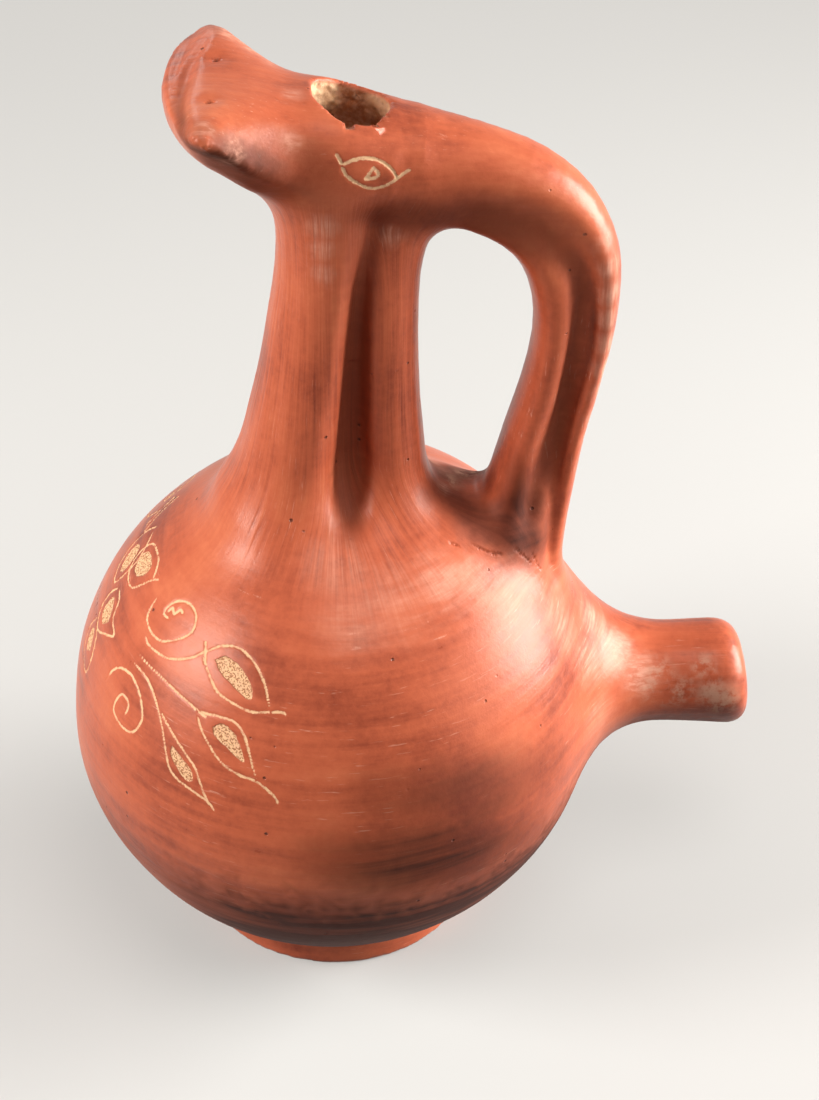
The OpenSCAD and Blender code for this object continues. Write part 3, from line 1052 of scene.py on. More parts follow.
@dataclass
class Wear:
    """Where the slip is scuffed pale (in places a painted highlight), rubbed brown, or darkened by painted
    shade.
    """

    # Single spots (x, y, z, radius, strength).
    spots: dict[Trace, Stations] = field(default_factory=lambda: {
        Trace.SCUFF: (
            (-34, 27, 378, 6, 0.8), (-27, 24, 374, 6, 0.8), (-19, 17, 372, 5, 0.5),
            (-14, -5, 372, 4, 0.5), (-44, -38, 376, 4, 0.7), (-36, -36, 368, 5, 0.6),
            (-15, -24, 364, 4, 0.5), (-5, -21, 329, 5, 0.7), (-5, -21, 320, 4, 0.8),
            (-5, -21, 310, 4, 0.6), (19, -14, 321, 4, 0.6), (42, -4, 205, 3, 0.8),
            (81, -5, 196, 2.5, 0.9), (45, 8, 204, 5, 0.6),
            (0, -42, 196, 13, 0.35), (21, -52, 189, 16, 0.35), (3, -60, 186, 12, 0.3),
            (37, -42, 189, 13, 0.6), (50, -38, 185, 10, 0.6), (66, -36, 175, 13, 0.55),
            (85, -27, 155, 12, 0.5), (98, -27, 134, 10, 0.45), (102, -35, 110, 10, 0.4),
            # On the tail root: pale wear together with a painted highlight.
            (101, -8, 139, 9, 0.8), (110, -14, 128, 9, 0.9), (121, -18, 117, 8, 0.8),
            # Down the handle's outer ridge: a painted highlight, partly worn slip.
            (95, -10, 314, 5, 0.6), (97.7, -10.5, 303, 5, 0.85), (98.6, -10, 292, 5, 0.9),
            (99, -9.6, 281, 5, 0.9), (99, -9, 270, 5, 0.85), (98.6, -7.5, 259, 5, 0.8),
            (98, -6.5, 248, 5, 0.75), (97, -6.4, 236, 5, 0.7), (96, -6, 225, 4.5, 0.6),
            (95, -6, 212, 4.5, 0.5),
        ),
        Trace.RUBBED: (
            (136, -20, 109, 7, 1.0), (129, -16, 117, 6, 0.8), (124, -20, 111, 5, 0.8),
            (150, -20, 108, 7, 1.0), (146, -15, 118, 5, 0.9), (154, -21, 104, 7, 1.0),
            (45, 3, 203, 4, 1.0), (52, 12, 199, 5, 0.8), (38, 14, 203, 4, 0.6),
        ),
        # Painted shade in the two nostrils.
        Trace.SMOKE: ((-41.7, -20, 377, 1.3, 0.8), (-39.2, 9, 377.5, 1.2, 0.7)),
    })
    # Runs of painted shade down both sides: in the mouth's valley, under the cheek and jaw, under the head,
    # in the handle's and the neck's grooves, on the web, under the tail, and on the lower belly, where it
    # deepens dark streaks in the slip. Stations (x, y, z, radius, strength).
    smoke: Sequence[Stations] = (
        (
            (-38, -38, 366, 6, 0.3), (-33, -36, 364, 8, 0.9), (-27, -32, 360, 8, 0.85),
            (-19, -26, 353, 7, 0.6), (-10, -21, 347, 6, 0.25),
        ),
        (
            (-31, -33, 368, 8, 0.3), (-22, -28, 363, 10, 0.4), (-12, -24, 356, 10, 0.35),
            (-2, -22, 349, 8, 0.1),
        ),
        (
            (-44, -35, 364, 6, 0.6), (-36, -32, 357, 8, 0.65), (-28, -26, 350, 8, 0.6),
            (-19, -20, 343, 7, 0.3),
        ),
        (
            (8, -16, 331, 8, 0.45), (28, -16, 330, 9, 0.6), (41, -14, 329, 10, 0.65),
            (57, -12, 323, 10, 0.65), (70, -12, 316, 9, 0.6), (80, -11, 309, 6, 0.5),
            (85.3, -10, 302, 4.5, 0.5),
            (86.6, -9, 289, 4.5, 0.6), (86.2, -8.4, 271, 4.5, 0.65), (85, -7, 253, 5, 0.65),
            (82.5, -7, 235, 5.5, 0.65), (79, -9, 218, 8, 0.65), (74, -14, 205, 10, 0.7),
            (70, -18, 194, 11, 0.75), (60, -19, 195, 10, 0.75), (50, -14, 198, 9, 0.75),
            (41, -6, 202, 8, 0.7), (33, -12, 206, 6, 0.4),
        ),
        ((66, -14, 222, 5, 0.3), (70, -15, 208, 9, 0.8), (66, -19, 196, 11, 0.9), (74, -18, 186, 9, 0.8)),
        (
            (6, -17, 328, 8, 0.4), (6, -15, 312, 8, 0.45), (6, -11.5, 281, 7.5, 0.5),
            (5.4, -10.5, 254, 7.5, 0.5), (4.8, -11.5, 227, 7.5, 0.55), (4.2, -18, 209, 8, 0.55),
            (3.2, -28, 202, 7, 0.4),
        ),
        ((81, -12, 192, 5, 0.5), (80, -14, 183, 5, 0.6), (78, -17, 176, 4, 0.3)),
        (
            (112, -18, 95, 6, 0.2), (124, -14, 91, 8, 0.6), (138, -12, 89, 8, 0.7), (152, -12, 89, 8, 0.7),
            (163, -10, 91, 6, 0.3),
        ),
        # Dark streaks in the slip of the lower belly, made deeper as painted shade where the front gets no
        # light.
        (
            (10, -98, 135, 12, 0.3), (49, -88, 124, 18, 0.65), (72, -68, 118, 12, 0.3),
            (88, -45, 112, 8, 0.05),
        ),
        (
            (-10, -103, 108, 12, 0.35), (30, -99, 102, 22, 0.85), (58, -82, 94, 18, 0.6),
            (80, -54, 88, 10, 0.1),
        ),
    )
    # Painted shade in the mouth's groove and under the nose, round the near corner only.
    mouth_shade: Stations = (
        (-49, -4, 377, 2.4, 0.3), (-51, -13, 375.6, 2.6, 0.45), (-51.6, -22, 375, 3, 0.6),
        (-50, -31, 374, 4, 0.8), (-46.5, -36, 372, 6, 0.9), (-41, -38.5, 370, 7, 0.95),
        (-34, -36, 365, 8, 0.95),
    )
    # Heights between which the painted shade on the belly's underside fades out going up.
    dark_foot: tuple[float, float] = (66.0, 100.0)
    # How far the dark's upper edge wanders up and down, and the heights over which the foot ring is left out.
    dark_wander: float = 14.0
    foot_ring: tuple[float, float] = (8.0, 14.0)
    # The dark is weaker on the chest, before the first of these x, and full after the second.
    dark_chest: tuple[float, float] = (-85.0, -30.0)

    def amount(self, trace: Trace, p: Array) -> Array:
        """Work out the strength of one trace.

        Args:
            trace: the trace.
            p: points, shape (n, 3).

        Returns:
            The strength at each point, from 0 to 1.
        """
        out = np.zeros(len(p))
        ragged = 1 + 0.35 * soft_noise(p, 3.0, 11) + 0.25 * soft_noise(p, 1.4, 12)
        places = [(p, self.spots[trace])]
        if trace is Trace.SMOKE:
            mirrored = np.column_stack([p[:, 0], -np.abs(p[:, 1]), p[:, 2]])
            places.append((mirrored, np.vstack([spline(run, 5) for run in self.smoke])))
            places.append((p, spline(self.mouth_shade, 5)))
            # Painted shade on the belly's underside, darker towards the bottom, leaving out the foot ring.
            low = 1 - ease(p[:, 2] + self.dark_wander * (ragged - 1), *self.dark_foot)
            behind = 0.35 + 0.65 * ease(p[:, 0], *self.dark_chest)
            out = low * ease(p[:, 2], *self.foot_ring) * behind
        for q, spots in places:
            for x, y, z, radius, strength in spots:
                d = np.linalg.norm(q - (x, y, z), axis=1) / radius
                out = np.maximum(out, strength * (1 - ease(d * (0.6 + 0.4 * ragged), 0.2, 1.5)))
        return out


class Wire:
    """One value of a shader. Python's operators on it add Math nodes."""

    def __init__(self, board: "Board", socket: bpy.types.NodeSocket) -> None:
        """Wrap an output socket of a board."""
        self.board = board
        self.socket = socket

    def __add__(self, other: "Wire | float") -> "Wire":
        """Sum of two values."""
        return self.board.maths("ADD", self, other)

    def __radd__(self, other: float) -> "Wire":
        """Sum of a number and this value."""
        return self.board.maths("ADD", other, self)

    def __sub__(self, other: "Wire | float") -> "Wire":
        """This value less another."""
        return self.board.maths("SUBTRACT", self, other)

    def __rsub__(self, other: float) -> "Wire":
        """A number less this value."""
        return self.board.maths("SUBTRACT", other, self)

    def __mul__(self, other: "Wire | float") -> "Wire":
        """Product of two values."""
        return self.board.maths("MULTIPLY", self, other)

    def __rmul__(self, other: float) -> "Wire":
        """Product of a number and this value."""
        return self.board.maths("MULTIPLY", other, self)

    def __truediv__(self, other: "Wire | float") -> "Wire":
        """This value divided by another."""
        return self.board.maths("DIVIDE", self, other)

    def between(self, low: float, high: float) -> "Wire":
        """Rise smoothly from 0 to 1.

        Args:
            low: where the rise begins.
            high: where it ends.

        Returns:
            The risen value.
        """
        settings = {"interpolation_type": "SMOOTHSTEP"}
        values = {"Value": self, "From Min": low, "From Max": high}
        return self.board.out("ShaderNodeMapRange", settings, values, "Result")

    def at_least(self, other: "Wire | float") -> "Wire":
        """The larger of two values."""
        return self.board.maths("MAXIMUM", self, other)

    def clamped(self) -> "Wire":
        """This value held between 0 and 1."""
        return self.board.maths("ADD", self, 0.0, clamp=True)


Value = Wire | float | Sequence[float]


class Board:
    """The node tree of one material or of the sky, with short ways to add to it."""

    def __init__(self, owner: bpy.types.Material | bpy.types.World) -> None:
        """Start with an empty tree.

        Args:
            owner: the material or the sky.
        """
        owner.use_nodes = True
        self.tree = owner.node_tree
        self.tree.nodes.clear()

    def node(self, kind: str, settings: dict[str, object], values: dict[str | int, Value]) -> bpy.types.Node:
        """Add a node.

        Args:
            kind: Blender's name of the node's type.
            settings: what is set on the node itself, before its sockets.
            values: numbers, colours or wires for its input sockets, by name or place.

        Returns:
            The node.
        """
        made = self.tree.nodes.new(kind)
        for name, setting in settings.items():
            setattr(made, name, setting)
        for name, value in values.items():
            socket = made.inputs[name]
            if isinstance(value, Wire):
                self.tree.links.new(value.socket, socket)
            else:
                socket.default_value = value
        return made

    def out(self, kind: str, settings: dict[str, object], values: dict[str | int, Value],
            output: str | int = 0) -> Wire:
        """Add a node and take one of its outputs."""
        return Wire(self, self.node(kind, settings, values).outputs[output])

    def maths(self, operation: str, a: Value, b: Value, clamp: bool = False) -> Wire:
        """Add a Math node."""
        return self.out("ShaderNodeMath", {"operation": operation, "use_clamp": clamp}, {0: a, 1: b})

    def stretched(self, vector: Wire, scale: Sequence[float]) -> Wire:
        """Scale a vector differently along each axis."""
        return self.out("ShaderNodeVectorMath", {"operation": "MULTIPLY"}, {0: vector, 1: scale}, "Vector")

    def mix(self, factor: Value, a: Value, b: Value) -> Wire:
        """Mix two colours.

        Args:
            factor: share of the second colour.
            a: first colour.
            b: second colour.

        Returns:
            The mixed colour.
        """
        # The node has a pair of inputs and an output for each kind of value; these are the colours'.
        first, second, result = 6, 7, 2
        settings = {"data_type": "RGBA", "clamp_factor": True}
        return self.out("ShaderNodeMix", settings, {0: factor, first: a, second: b}, result)

    def attribute(self, name: str) -> Wire:
        """Read a number that the skin carries."""
        return self.out("ShaderNodeAttribute", {"attribute_name": name}, {}, "Fac")

    def noise(self, vector: Wire, scale: float, detail: float = 3.0, rough: float = 0.55) -> Wire:
        """Add soft noise from 0 to 1."""
        values = {"Vector": vector, "Scale": scale, "Detail": detail, "Roughness": rough}
        return self.out("ShaderNodeTexNoise", {"noise_dimensions": "3D"}, values, "Fac")

    def pits(self, vector: Wire, scale: float, size: float) -> Wire:
        """Add round pits, one here and there.

        Args:
            vector: place.
            scale: cells in one unit of place.
            size: radius of a pit, in cells.

        Returns:
            1 in the middle of a pit and 0 outside.
        """
        rare = (0.965, 0.985)
        cells = self.node("ShaderNodeTexVoronoi", {"feature": "F1"}, {"Vector": vector, "Scale": scale})
        distance = Wire(self, cells.outputs["Distance"])
        chance = self.out("ShaderNodeSeparateColor", {}, {0: Wire(self, cells.outputs["Color"])}, 0)
        return (1 - distance.between(size * 0.4, size)) * chance.between(*rare)

    def seen(self) -> Wire:
        """Tell what the camera sees, also in gloss and through glass, from what only lights the scene.

        Returns:
            1 for a ray that the camera sees, 0 for any other.
        """
        path = self.node("ShaderNodeLightPath", {}, {})
        kinds = ("Is Camera Ray", "Is Glossy Ray", "Is Transmission Ray")
        straight, mirrored, through = (Wire(self, path.outputs[kind]) for kind in kinds)
        return straight.at_least(mirrored).at_least(through)


def linear(colour: Colour) -> tuple[float, float, float, float]:
    """Turn a colour into light.

    Args:
        colour: red, green and blue as a screen shows them, 0 to 255.

    Returns:
        Red, green, blue and a full alpha.
    """
    parts = [c / 255 for c in colour]
    r, g, b = (c / 12.92 if c <= 0.04045 else ((c + 0.055) / 1.055) ** 2.4 for c in parts)
    return r, g, b, 1.0


@dataclass(frozen=True)
class BurnishedSlip:
    """Red slip rubbed with a stone before firing, scratched through to the buff clay in places."""

    bright: Colour = (220, 124, 84)
    middle: Colour = (192, 94, 62)
    deep: Colour = (124, 50, 34)
    # Colour of the painted shade.
    shade_tone: Colour = (56, 18, 9)
    buff: Colour = (240, 194, 146)
    stipple: Colour = (164, 104, 66)
    raw: Colour = (156, 98, 66)
    cream: Colour = (238, 194, 150)
    # Pale worn slip, which in the scuffs also stands for painted highlight.
    scuffed: Colour = (226, 164, 138)
    brown: Colour = (206, 160, 134)
    pit: Colour = (70, 30, 22)
    gloss: float = 0.33
    dull: float = 0.7
    shine: float = 0.31
    warmth: Colour = (255, 222, 206)
    # Metres.
    relief: float = 0.0006

    def material(self) -> bpy.types.Material:
        """Build the material.

        Returns:
            The material.
        """
        slip = bpy.data.materials.new("burnished_slip")
        b = Board(slip)
        place = b.out("ShaderNodeTexCoord", {}, {}, "Object")
        upright = b.attribute("upright")
        limb = b.attribute("limb")
        strokes = self._strokes(b, place, upright, limb)
        flecks = self._strokes(b, place, upright, limb, 6.0).between(0.62, 0.72)
        cloud = b.noise(place, 16.0, 4.0)
        grain = b.noise(place, 900.0, 3.0, 0.7)
        speckle = b.noise(place, 340.0, 3.0, 0.65)
        pits = b.pits(place, 230.0, 0.2)
        # The red slip, from dark strokes to bright ones.
        tone = (cloud * 0.9 + strokes * 0.45 + speckle * 0.2 - 0.25).clamped()
        red = b.mix(tone.between(0.25, 0.6), linear(self.deep), linear(self.middle))
        red = b.mix(tone.between(0.52, 0.95), red, linear(self.bright))
        # Pale flecks, pale scuffs that in places are painted highlight, painted shade, rubbed patches and
        # pits.
        smoke = b.attribute("smoke")
        fleck_patch = b.noise(place, 26.0, 2.0).between(0.42, 0.62)
        red = b.mix(flecks * fleck_patch * 0.55, red, linear(self.scuffed))
        # Painted shade: the slip darkens toward a near black red where the skin's shade attribute says, more
        # along the stone's strokes on the body.
        shade_share = (smoke * (0.3 + limb * 0.4 + strokes * (1.4 - limb * 0.9))).clamped()
        red = b.mix(shade_share, red, linear(self.shade_tone))
        # Pale scuffs, which on the handle's ridge and the tail root are painted highlight.
        streaked = self._strokes(b, place, upright, limb, 3.0).between(0.35, 0.7)
        scuff = (b.attribute("scuff") * (0.25 + streaked * (0.4 + speckle))).clamped()
        red = b.mix(scuff * 0.9, red, linear(self.scuffed))
        rubbed = b.attribute("rubbed") * b.noise(place, 120.0, 4.0, 0.7).between(0.4, 0.6)
        red = b.mix(rubbed * 0.85, red, linear(self.brown))
        red = b.mix(pits * 0.8, red, linear(self.pit))
        # The drawing, scratched through to the buff clay, and its stippled cores.
        ragged = (grain - 0.5) * 0.7 + (speckle - 0.5) * 0.7
        scratch = 1 - (b.attribute("scratch") + ragged).between(-0.25, 0.2)
        stipple = b.noise(place, 1500.0, 1.0, 0.5).between(0.38, 0.54)
        core = 1 - (b.attribute("core") + ragged).between(-0.25, 0.2)
        bare = scratch.at_least(core)
        buff = b.mix(speckle.between(0.35, 0.75) * 0.4, linear(self.buff), linear(self.scuffed))
        buff = b.mix(core * (1 - stipple), buff, linear(self.stipple))
        colour = b.mix(bare * 0.92, red, buff)
        # The raw clay inside the filling hole.
        raw = b.attribute("raw")
        inner = b.mix(b.attribute("cream"), linear(self.raw), linear(self.cream))
        inner = b.mix(speckle.between(0.35, 0.7) * 0.5, inner, linear(self.brown))
        colour = b.mix(raw, colour, inner)
        # Gloss and relief.
        dull = bare.at_least(raw).at_least(scuff * 0.5).at_least(rubbed * 0.7)
        rough = self.gloss + (strokes - 0.5) * 0.2 + (speckle - 0.5) * 0.12 + dull * (self.dull - self.gloss)
        rough = rough + smoke * 0.4
        height = strokes * 0.35 + speckle * 0.14 + grain * (0.06 + raw * 0.5) - pits * 0.8 - core * 0.5
        relief = {"Strength": 1.0, "Distance": self.relief, "Height": height}
        values = {
            "Base Color": colour, "Roughness": rough.clamped(),
            "Normal": b.out("ShaderNodeBump", {}, relief, "Normal"),
            "Specular IOR Level": self.shine, "Specular Tint": linear(self.warmth),
        }
        clay = b.out("ShaderNodeBsdfPrincipled", {}, values, "BSDF")
        b.node("ShaderNodeOutputMaterial", {}, {"Surface": clay})
        return slip

    @staticmethod
    def _strokes(b: Board, place: Wire, upright: Wire, limb: Wire, fineness: float = 1.0) -> Wire:
        """Strokes of the burnishing stone: round the belly, up the chest and neck, along the limbs.

        Args:
            b: the material's board.
            place: place on the jug, in metres.
            upright: 1 where the stone was drawn up and down.
            limb: 1 where it was drawn along head, handle or tail.
            fineness: how much finer than the broadest strokes.

        Returns:
            The strokes, from 0 to 1.
        """
        flat = b.stretched(place, (1, 1, 0))
        around = b.out("ShaderNodeVectorMath", {"operation": "NORMALIZE"}, {0: flat}, "Vector")
        rising = b.stretched(around, (9, 9, 0))
        height = b.stretched(place, (0, 0, 9))
        rising = b.out("ShaderNodeVectorMath", {"operation": "ADD"}, {0: rising, 1: height}, "Vector")
        up = b.noise(rising, 2.2 * fineness, 3.0, 0.6)
        ring = b.noise(b.stretched(place, (9, 9, 120)), 1.6 * fineness, 3.0, 0.6)
        level = b.out("ShaderNodeSeparateXYZ", {}, {0: place}, "Z")
        # Head and tail lie down and the handle between them stands up.
        lying = level.between(0.300, 0.335).at_least(1 - level.between(0.150, 0.185))
        along = b.noise(b.stretched(place, (14, 170, 170)), 1.1 * fineness, 3.0, 0.6)
        down = b.noise(b.stretched(place, (150, 150, 14)), 1.1 * fineness, 3.0, 0.6)
        run = lying * along + (1 - lying) * down
        body = upright * up + (1 - upright) * ring
        return limb * run + (1 - limb) * body


@dataclass
class Vessel:
    """The jug's one piece of fired clay."""

    form: Form = field(default_factory=Form)
    slip: BurnishedSlip = field(default_factory=BurnishedSlip)
    wear: Wear = field(default_factory=Wear)
    # Grid that the skin is drawn from: its step and its two corners.
    cell: float = 3.0
    low: tuple[float, float, float] = (-110.0, -110.0, -5.0)
    high: tuple[float, float, float] = (172.0, 110.0, 388.0)
    # Unevenness of a surface shaped by hand, the stone's flats and the torn clay in the filling hole.
    hand_wave: float = 0.35
    hand_wave_size: float = 26.0
    facet: float = 0.45
    torn: float = 0.5
    # A triangle is split where its normals differ by more than this, and not below the finest edge.
    bend_limit: float = 0.30
    finest: float = 0.95
    # Around the tools' marks the skin is split once for each of these: distance from the mark, tools.
    reaches: Sequence[tuple[float, tuple[Tool, ...]]] = (
        (4.5, (Tool.STYLUS, Tool.BLADE, Tool.FINGERTIP)),
        (2.2, (Tool.STYLUS, Tool.BLADE)),
    )
    # What the attributes scratch and core say far from any mark.
    unmarked: float = 4.0
    # Heights over which the head's top begins, where the hole's rim is.
    rim: tuple[float, float] = (350.0, 356.0)

    def build(self) -> bpy.types.Object:
        """Make the skin, cut the potter's marks into it and dress it.

        Returns:
            The piece.
        """
        grooves, patches = self._marks()
        skin = Skin.around(self.form.whole, self.low, self.high, self.cell)
        skin.settle(self.form.whole)
        log.info("skin %d points %d triangles", len(skin.points), len(skin.faces))
        tree = self._tree(grooves)
        self._refine(skin, tree)
        log.info("refined %d points %d triangles", len(skin.points), len(skin.faces))
        return self._piece(skin, patches, tree)

    def _marks(self) -> tuple[list[Groove], list[Patch]]:
        """Collect every groove and patch, with the far side as the near side's mirror.

        Returns:
            The grooves and the patches.
        """
        near = Chart(self.form, Side.NEAR)
        grooves, patches = ChestLeaves().marks(near)
        grooves += FingerNicks().marks(near)
        grooves += AnimalFace().snout(near)
        for side in Side:
            chart = Chart(self.form, side)
            drawn = (Sprig().marks(chart), AnimalFace().lines(chart), CoilGrooves().marks(chart))
            for cut, filled in drawn:
                grooves += cut
                patches += filled
        return grooves, patches

    @staticmethod
    def _tree(grooves: Iterable[Groove]) -> dict[Tool, tuple[KDTree, Array]]:
        """Plant one search tree for each tool, over all the points of its grooves.

        Args:
            grooves: every groove.

        Returns:
            For each tool its tree, and the width and the press at each of its points.
        """
        out = {}
        for tool in Tool:
            mine = [g for g in grooves if g.tool is tool]
            line = np.vstack([g.line for g in mine])
            share = np.vstack([np.column_stack([g.width, g.press]) for g in mine])
            tree = KDTree(len(line))
            for i, p in enumerate(line):
                tree.insert(p, i)
            tree.balance()
            out[tool] = (tree, share)
        return out

    @staticmethod
    def _nearest(tree: KDTree, p: Array) -> tuple[Array, Array]:
        """Find the groove point nearest to each of some points.

        Args:
            tree: one tool's tree.
            p: points, shape (n, 3).

        Returns:
            The number of the nearest groove point, and the distance to it.
        """
        found = [tree.find(q)[1:] for q in p]
        return np.array([f[0] for f in found]), np.array([f[1] for f in found])

    def _refine(self, skin: Skin, tree: dict[Tool, tuple[KDTree, Array]]) -> None:
        """Split the skin where it bends sharply and where a tool went in.

        Args:
            skin: the skin, which is changed.
            tree: each tool's search tree.
        """
        _, up = slope(self.form.whole, skin.points)
        bend = np.linalg.norm(up[skin.faces] - np.roll(up[skin.faces], -1, 1), axis=2).max(1)
        on_hollow = self.form.inside(skin.centres()) < 1.0
        deep = self.form.outside(skin.centres()) < -12
        skin.split((bend > self.bend_limit) & ~(on_hollow & deep), self.form.whole)
        # The middle of the hole's torn rim, which is refined too.
        torn_from = 354
        for reach, tools in self.reaches:
            centres = skin.centres()
            size = skin.longest()
            near = (self.form.inside(centres) < 0.8) & (centres[:, 2] > torn_from)
            for tool in tools:
                near |= self._nearest(tree[tool][0], centres)[1] < reach + tool.half_width
            skin.split(near & (size > self.finest), self.form.whole)

    def _piece(self, skin: Skin, patches: list[Patch],
               tree: dict[Tool, tuple[KDTree, Array]]) -> bpy.types.Object:
        """Press the grooves in, write what the slip reads and make the piece.

        Args:
            skin: the refined skin.
            patches: the stippled cores.
            tree: each tool's search tree.

        Returns:
            The piece.
        """
        p = skin.points
        _, up = slope(self.form.whole, p)
        depth = np.zeros(len(p))
        scratch = np.full(len(p), self.unmarked)
        for tool, (kd, share) in tree.items():
            index, distance = self._nearest(kd, p)
            half = tool.half_width * share[index, 0]
            t = np.clip(distance / (half * 1.15), 0, 1)
            depth = np.maximum(depth, tool.depth * share[index, 1] * (1 - t * t) ** 2)
            if tool is Tool.STYLUS:
                scratch = np.minimum(scratch, distance - half + 0.5 * (1 - share[index, 1]))
        core = np.full(len(p), self.unmarked)
        for patch in patches:
            core = np.minimum(core, patch.edge(p))
        raw = ease(-self.form.outside(p), 0.5, 1.9)
        depth += 0.15 * (1 - ease(core, -0.6, 0.2))
        wave = self.hand_wave * soft_noise(p, self.hand_wave_size, 3) * ease(p[:, 2], 2, 12)
        wave += self.facet * self._facets(p)
        torn = self.torn * (soft_noise(p, 2.6, 21) + 0.6 * soft_noise(p, 1.3, 22)) * raw
        moved = p + up * ((wave - depth) * (1 - raw) + torn * ease(p[:, 2], *self.rim))[:, None]
        aside = p[:, 0] - self.form.hole.x
        cream = np.maximum(ease(-aside, 1, 6), 0.45 * ease(aside, 4, 9)) * ease(p[:, 2], 352, 360)
        marks = {
            "scratch": scratch, "core": np.minimum(core, self.unmarked), "raw": raw, "cream": cream,
            "upright": self._upright(p), "limb": self._limb(p),
        }
        for trace in Trace:
            marks[trace.value] = self.wear.amount(trace, p)
        return self._object(Skin(moved, skin.faces), marks)

    @staticmethod
    def _facets(p: Array) -> Array:
        """Long flats that the stone left up and down the neck.

        Args:
            p: points, shape (n, 3).

        Returns:
            Their height at each point, from -1 to 1.
        """
        turn = np.arctan2(p[:, 1], p[:, 0] + 8) * 22
        neck = soft_noise(np.column_stack([turn, np.zeros(len(p)), p[:, 2] * 0.1]), 5.0, 31)
        return neck * ease(p[:, 2], 200, 225) * (1 - ease(p[:, 2], 318, 336)) * (1 - ease(p[:, 0], 30, 38))

    @staticmethod
    def _upright(p: Array) -> Array:
        """Where the stone was drawn up and down: the chest, the shoulder and the neck."""
        return ease(p[:, 2] + 10 * soft_noise(p, 30.0, 5), 172, 205)

    @staticmethod
    def _limb(p: Array) -> Array:
        """Where the stone was drawn along a limb.

        Args:
            p: points, shape (n, 3).

        Returns:
            1 on head, handle and tail, 0 elsewhere.
        """
        head = ease(p[:, 2], 330, 346)
        handle = ease(p[:, 0], 34, 44) * ease(p[:, 2], 196, 214)
        tail = ease(p[:, 0], 104, 118)
        return np.maximum(np.maximum(head, handle), tail)

    def _object(self, skin: Skin, marks: dict[str, Array]) -> bpy.types.Object:
        """Turn the skin into the scene's piece, in metres.

        Args:
            skin: the finished skin, in millimetres.
            marks: what the slip reads at each of its points, by name.

        Returns:
            The piece.
        """
        mesh = bpy.data.meshes.new("clay_jug")
        mesh.from_pydata((skin.points * MM).tolist(), [], skin.faces.tolist())
        mesh.validate()
        mesh.shade_smooth()
        for name, values in marks.items():
            layer = mesh.attributes.new(name, "FLOAT", "POINT")
            layer.data.foreach_set("value", values.astype(np.float32))
        mesh.materials.append(self.slip.material())
        piece = bpy.data.objects.new("clay_jug", mesh)
        bpy.context.scene.collection.objects.link(piece)
        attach(piece, "root")
        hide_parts("jug")
        return piece


@dataclass(frozen=True)
class Lamp:
    """A soft round lamp, placed by angles around the jug."""

    name: str
    # Degrees from the near side toward the tail, and degrees up.
    turn: float
    lift: float
    # Metres.
    distance: float
    width: float
    watts: float

    def hang(self, aim: Array) -> None:
        """Hang the lamp.

        Args:
            aim: the place that it shines at, in metres.
        """
        a, e = math.radians(self.turn), math.radians(self.lift)
        ray = np.array([math.sin(a) * math.cos(e), -math.cos(a) * math.cos(e), math.sin(e)])
        data = bpy.data.lights.new(self.name, "AREA")
        data.shape = "DISK"
        data.size = self.width
        data.energy = self.watts
        item = bpy.data.objects.new(self.name, data)
        right = np.cross([0, 0, 1], ray)
        right /= np.linalg.norm(right)
        turned = np.column_stack([right, np.cross(ray, right), ray])
        item.matrix_world = Matrix.Translation(aim + ray * self.distance) @ Matrix(turned.tolist()).to_4x4()
        bpy.context.scene.collection.objects.link(item)


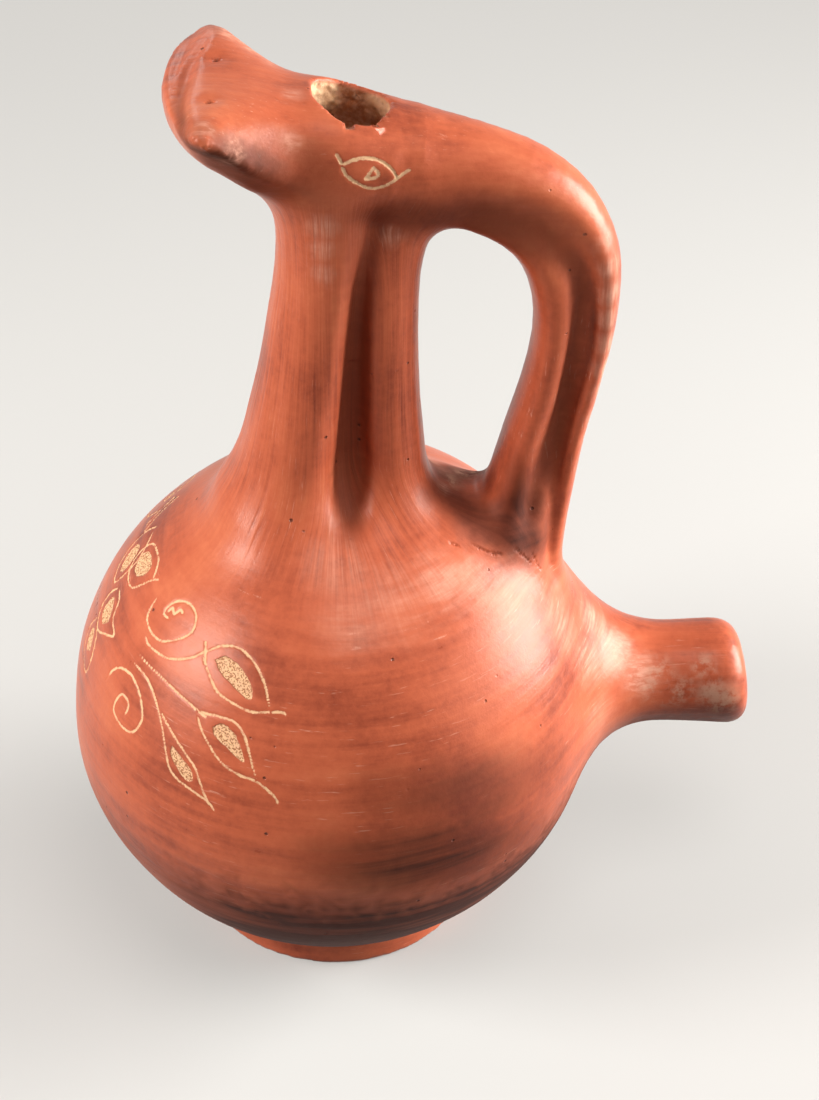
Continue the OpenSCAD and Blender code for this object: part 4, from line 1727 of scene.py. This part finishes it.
@dataclass
class Studio:
    """Camera at the picture's viewing angle, soft lamps and a plain pale floor."""

    frame_pixels: tuple[int, int] = (819, 1100)
    focal_pixels: float = 2500.0
    sensor: float = 36.0
    # The camera's angles in degrees: down, to the left of a straight side view, and round its axis.
    lift: float = 38.5
    turn: float = -5.0
    roll: float = 1.19
    # Its distance and the place it looks at, in millimetres.
    distance: float = 965.3
    aside: float = 28.8
    height: float = 172.4
    # Floor and sky as the camera sees them, and the floor's dark bounce on the clay.
    pale: Colour = (214, 211, 206)
    bounce: Colour = (32, 27, 25)
    # Share of the pale colour that doesn't depend on light, and where it grows to all of it, in metres.
    floor_glow: float = 0.4
    floor_fade: tuple[float, float] = (0.35, 1.2)
    floor_half: float = 4.0
    sky: float = 0.13
    lamps: Sequence[Lamp] = (
        Lamp("window", -79, 25, 1.6, 0.74, 29.0),
        Lamp("low_left", -72, 6, 1.8, 0.80, 4.0),
        Lamp("side", 97, 12, 1.6, 1.05, 60.0),
        Lamp("fill", 66, 16, 2.0, 1.60, 15.0),
        Lamp("rim", -165, 30, 1.6, 0.40, 1.5),
        Lamp("top", 20, 70, 1.9, 1.10, 11.0),
    )
    aim: tuple[float, float, float] = (0.03, 0.0, 0.19)

    def axes(self) -> tuple[Array, Array, Array]:
        """Work out how the camera is turned.

        Returns:
            The directions to its right, up and back.
        """
        e, a, g = np.radians([self.lift, self.turn, self.roll])
        back = np.array([np.sin(a) * np.cos(e), -np.cos(a) * np.cos(e), np.sin(e)])
        right = np.array([np.cos(a), np.sin(a), 0.0])
        up = np.cross(back, right)
        return right * np.cos(g) + up * np.sin(g), up * np.cos(g) - right * np.sin(g), back

    def camera(self) -> None:
        """Stand the camera where the picture was taken from."""
        right, up, back = self.axes()
        a = math.radians(self.turn)
        target = np.array([math.cos(a) * self.aside, math.sin(a) * self.aside, self.height])
        eye = (target + back * self.distance) * MM
        data = bpy.data.cameras.new("camera")
        data.sensor_width = self.sensor
        data.lens = self.focal_pixels / max(self.frame_pixels) * self.sensor
        data.clip_start = 0.05
        item = bpy.data.objects.new("camera", data)
        turned = np.column_stack([right, up, back])
        item.matrix_world = Matrix.Translation(eye) @ Matrix(turned.tolist()).to_4x4()
        bpy.context.scene.collection.objects.link(item)
        bpy.context.scene.camera = item

    def dome(self) -> None:
        """Set the sky, a weak even light that the camera sees as the pale colour."""
        world = bpy.data.worlds.new("sky")
        b = Board(world)
        soft = b.out("ShaderNodeBackground", {}, {"Strength": self.sky})
        plain = b.out("ShaderNodeBackground", {}, {"Color": linear(self.pale)})
        both = b.out("ShaderNodeMixShader", {}, {0: b.seen(), 1: soft, 2: plain})
        b.node("ShaderNodeOutputWorld", {}, {"Surface": both})
        bpy.context.scene.world = world

    def floor(self) -> None:
        """Lay the floor, which throws back little light and runs into the pale sky far away."""
        half = self.floor_half
        mesh = bpy.data.meshes.new("floor")
        corners = [(-half, -half, 0), (half, -half, 0), (half, half, 0), (-half, half, 0)]
        mesh.from_pydata(corners, [], [(0, 1, 2, 3)])
        paint = bpy.data.materials.new("pale_floor")
        b = Board(paint)
        seen = b.seen()
        colour = b.mix(seen, linear(self.bounce), linear(self.pale))
        lit = b.out("ShaderNodeBsdfDiffuse", {}, {"Color": colour})
        glow = b.out("ShaderNodeEmission", {}, {"Color": linear(self.pale)})
        place = b.out("ShaderNodeTexCoord", {}, {}, "Object")
        away = b.out("ShaderNodeVectorMath", {"operation": "LENGTH"}, {0: place}, "Value")
        share = seen * (self.floor_glow + away.between(*self.floor_fade) * (1 - self.floor_glow))
        both = b.out("ShaderNodeMixShader", {}, {0: share, 1: lit, 2: glow})
        b.node("ShaderNodeOutputMaterial", {}, {"Surface": both})
        mesh.materials.append(paint)
        item = bpy.data.objects.new("floor", mesh)
        bpy.context.scene.collection.objects.link(item)

    def build(self) -> None:
        """Set up camera, lamps and floor."""
        bpy.context.scene.view_settings.view_transform = "Standard"
        self.camera()
        for lamp in self.lamps:
            lamp.hang(np.array(self.aim))
        self.dome()
        self.floor()


def main() -> None:
    """Build the studio and the vessel."""
    logging.basicConfig(level=logging.INFO, format="%(message)s")
    Studio().build()
    piece = Vessel().build()
    log.info("%s: %d triangles", piece.name, len(piece.data.polygons))


if __name__ == "__main__":
    main()
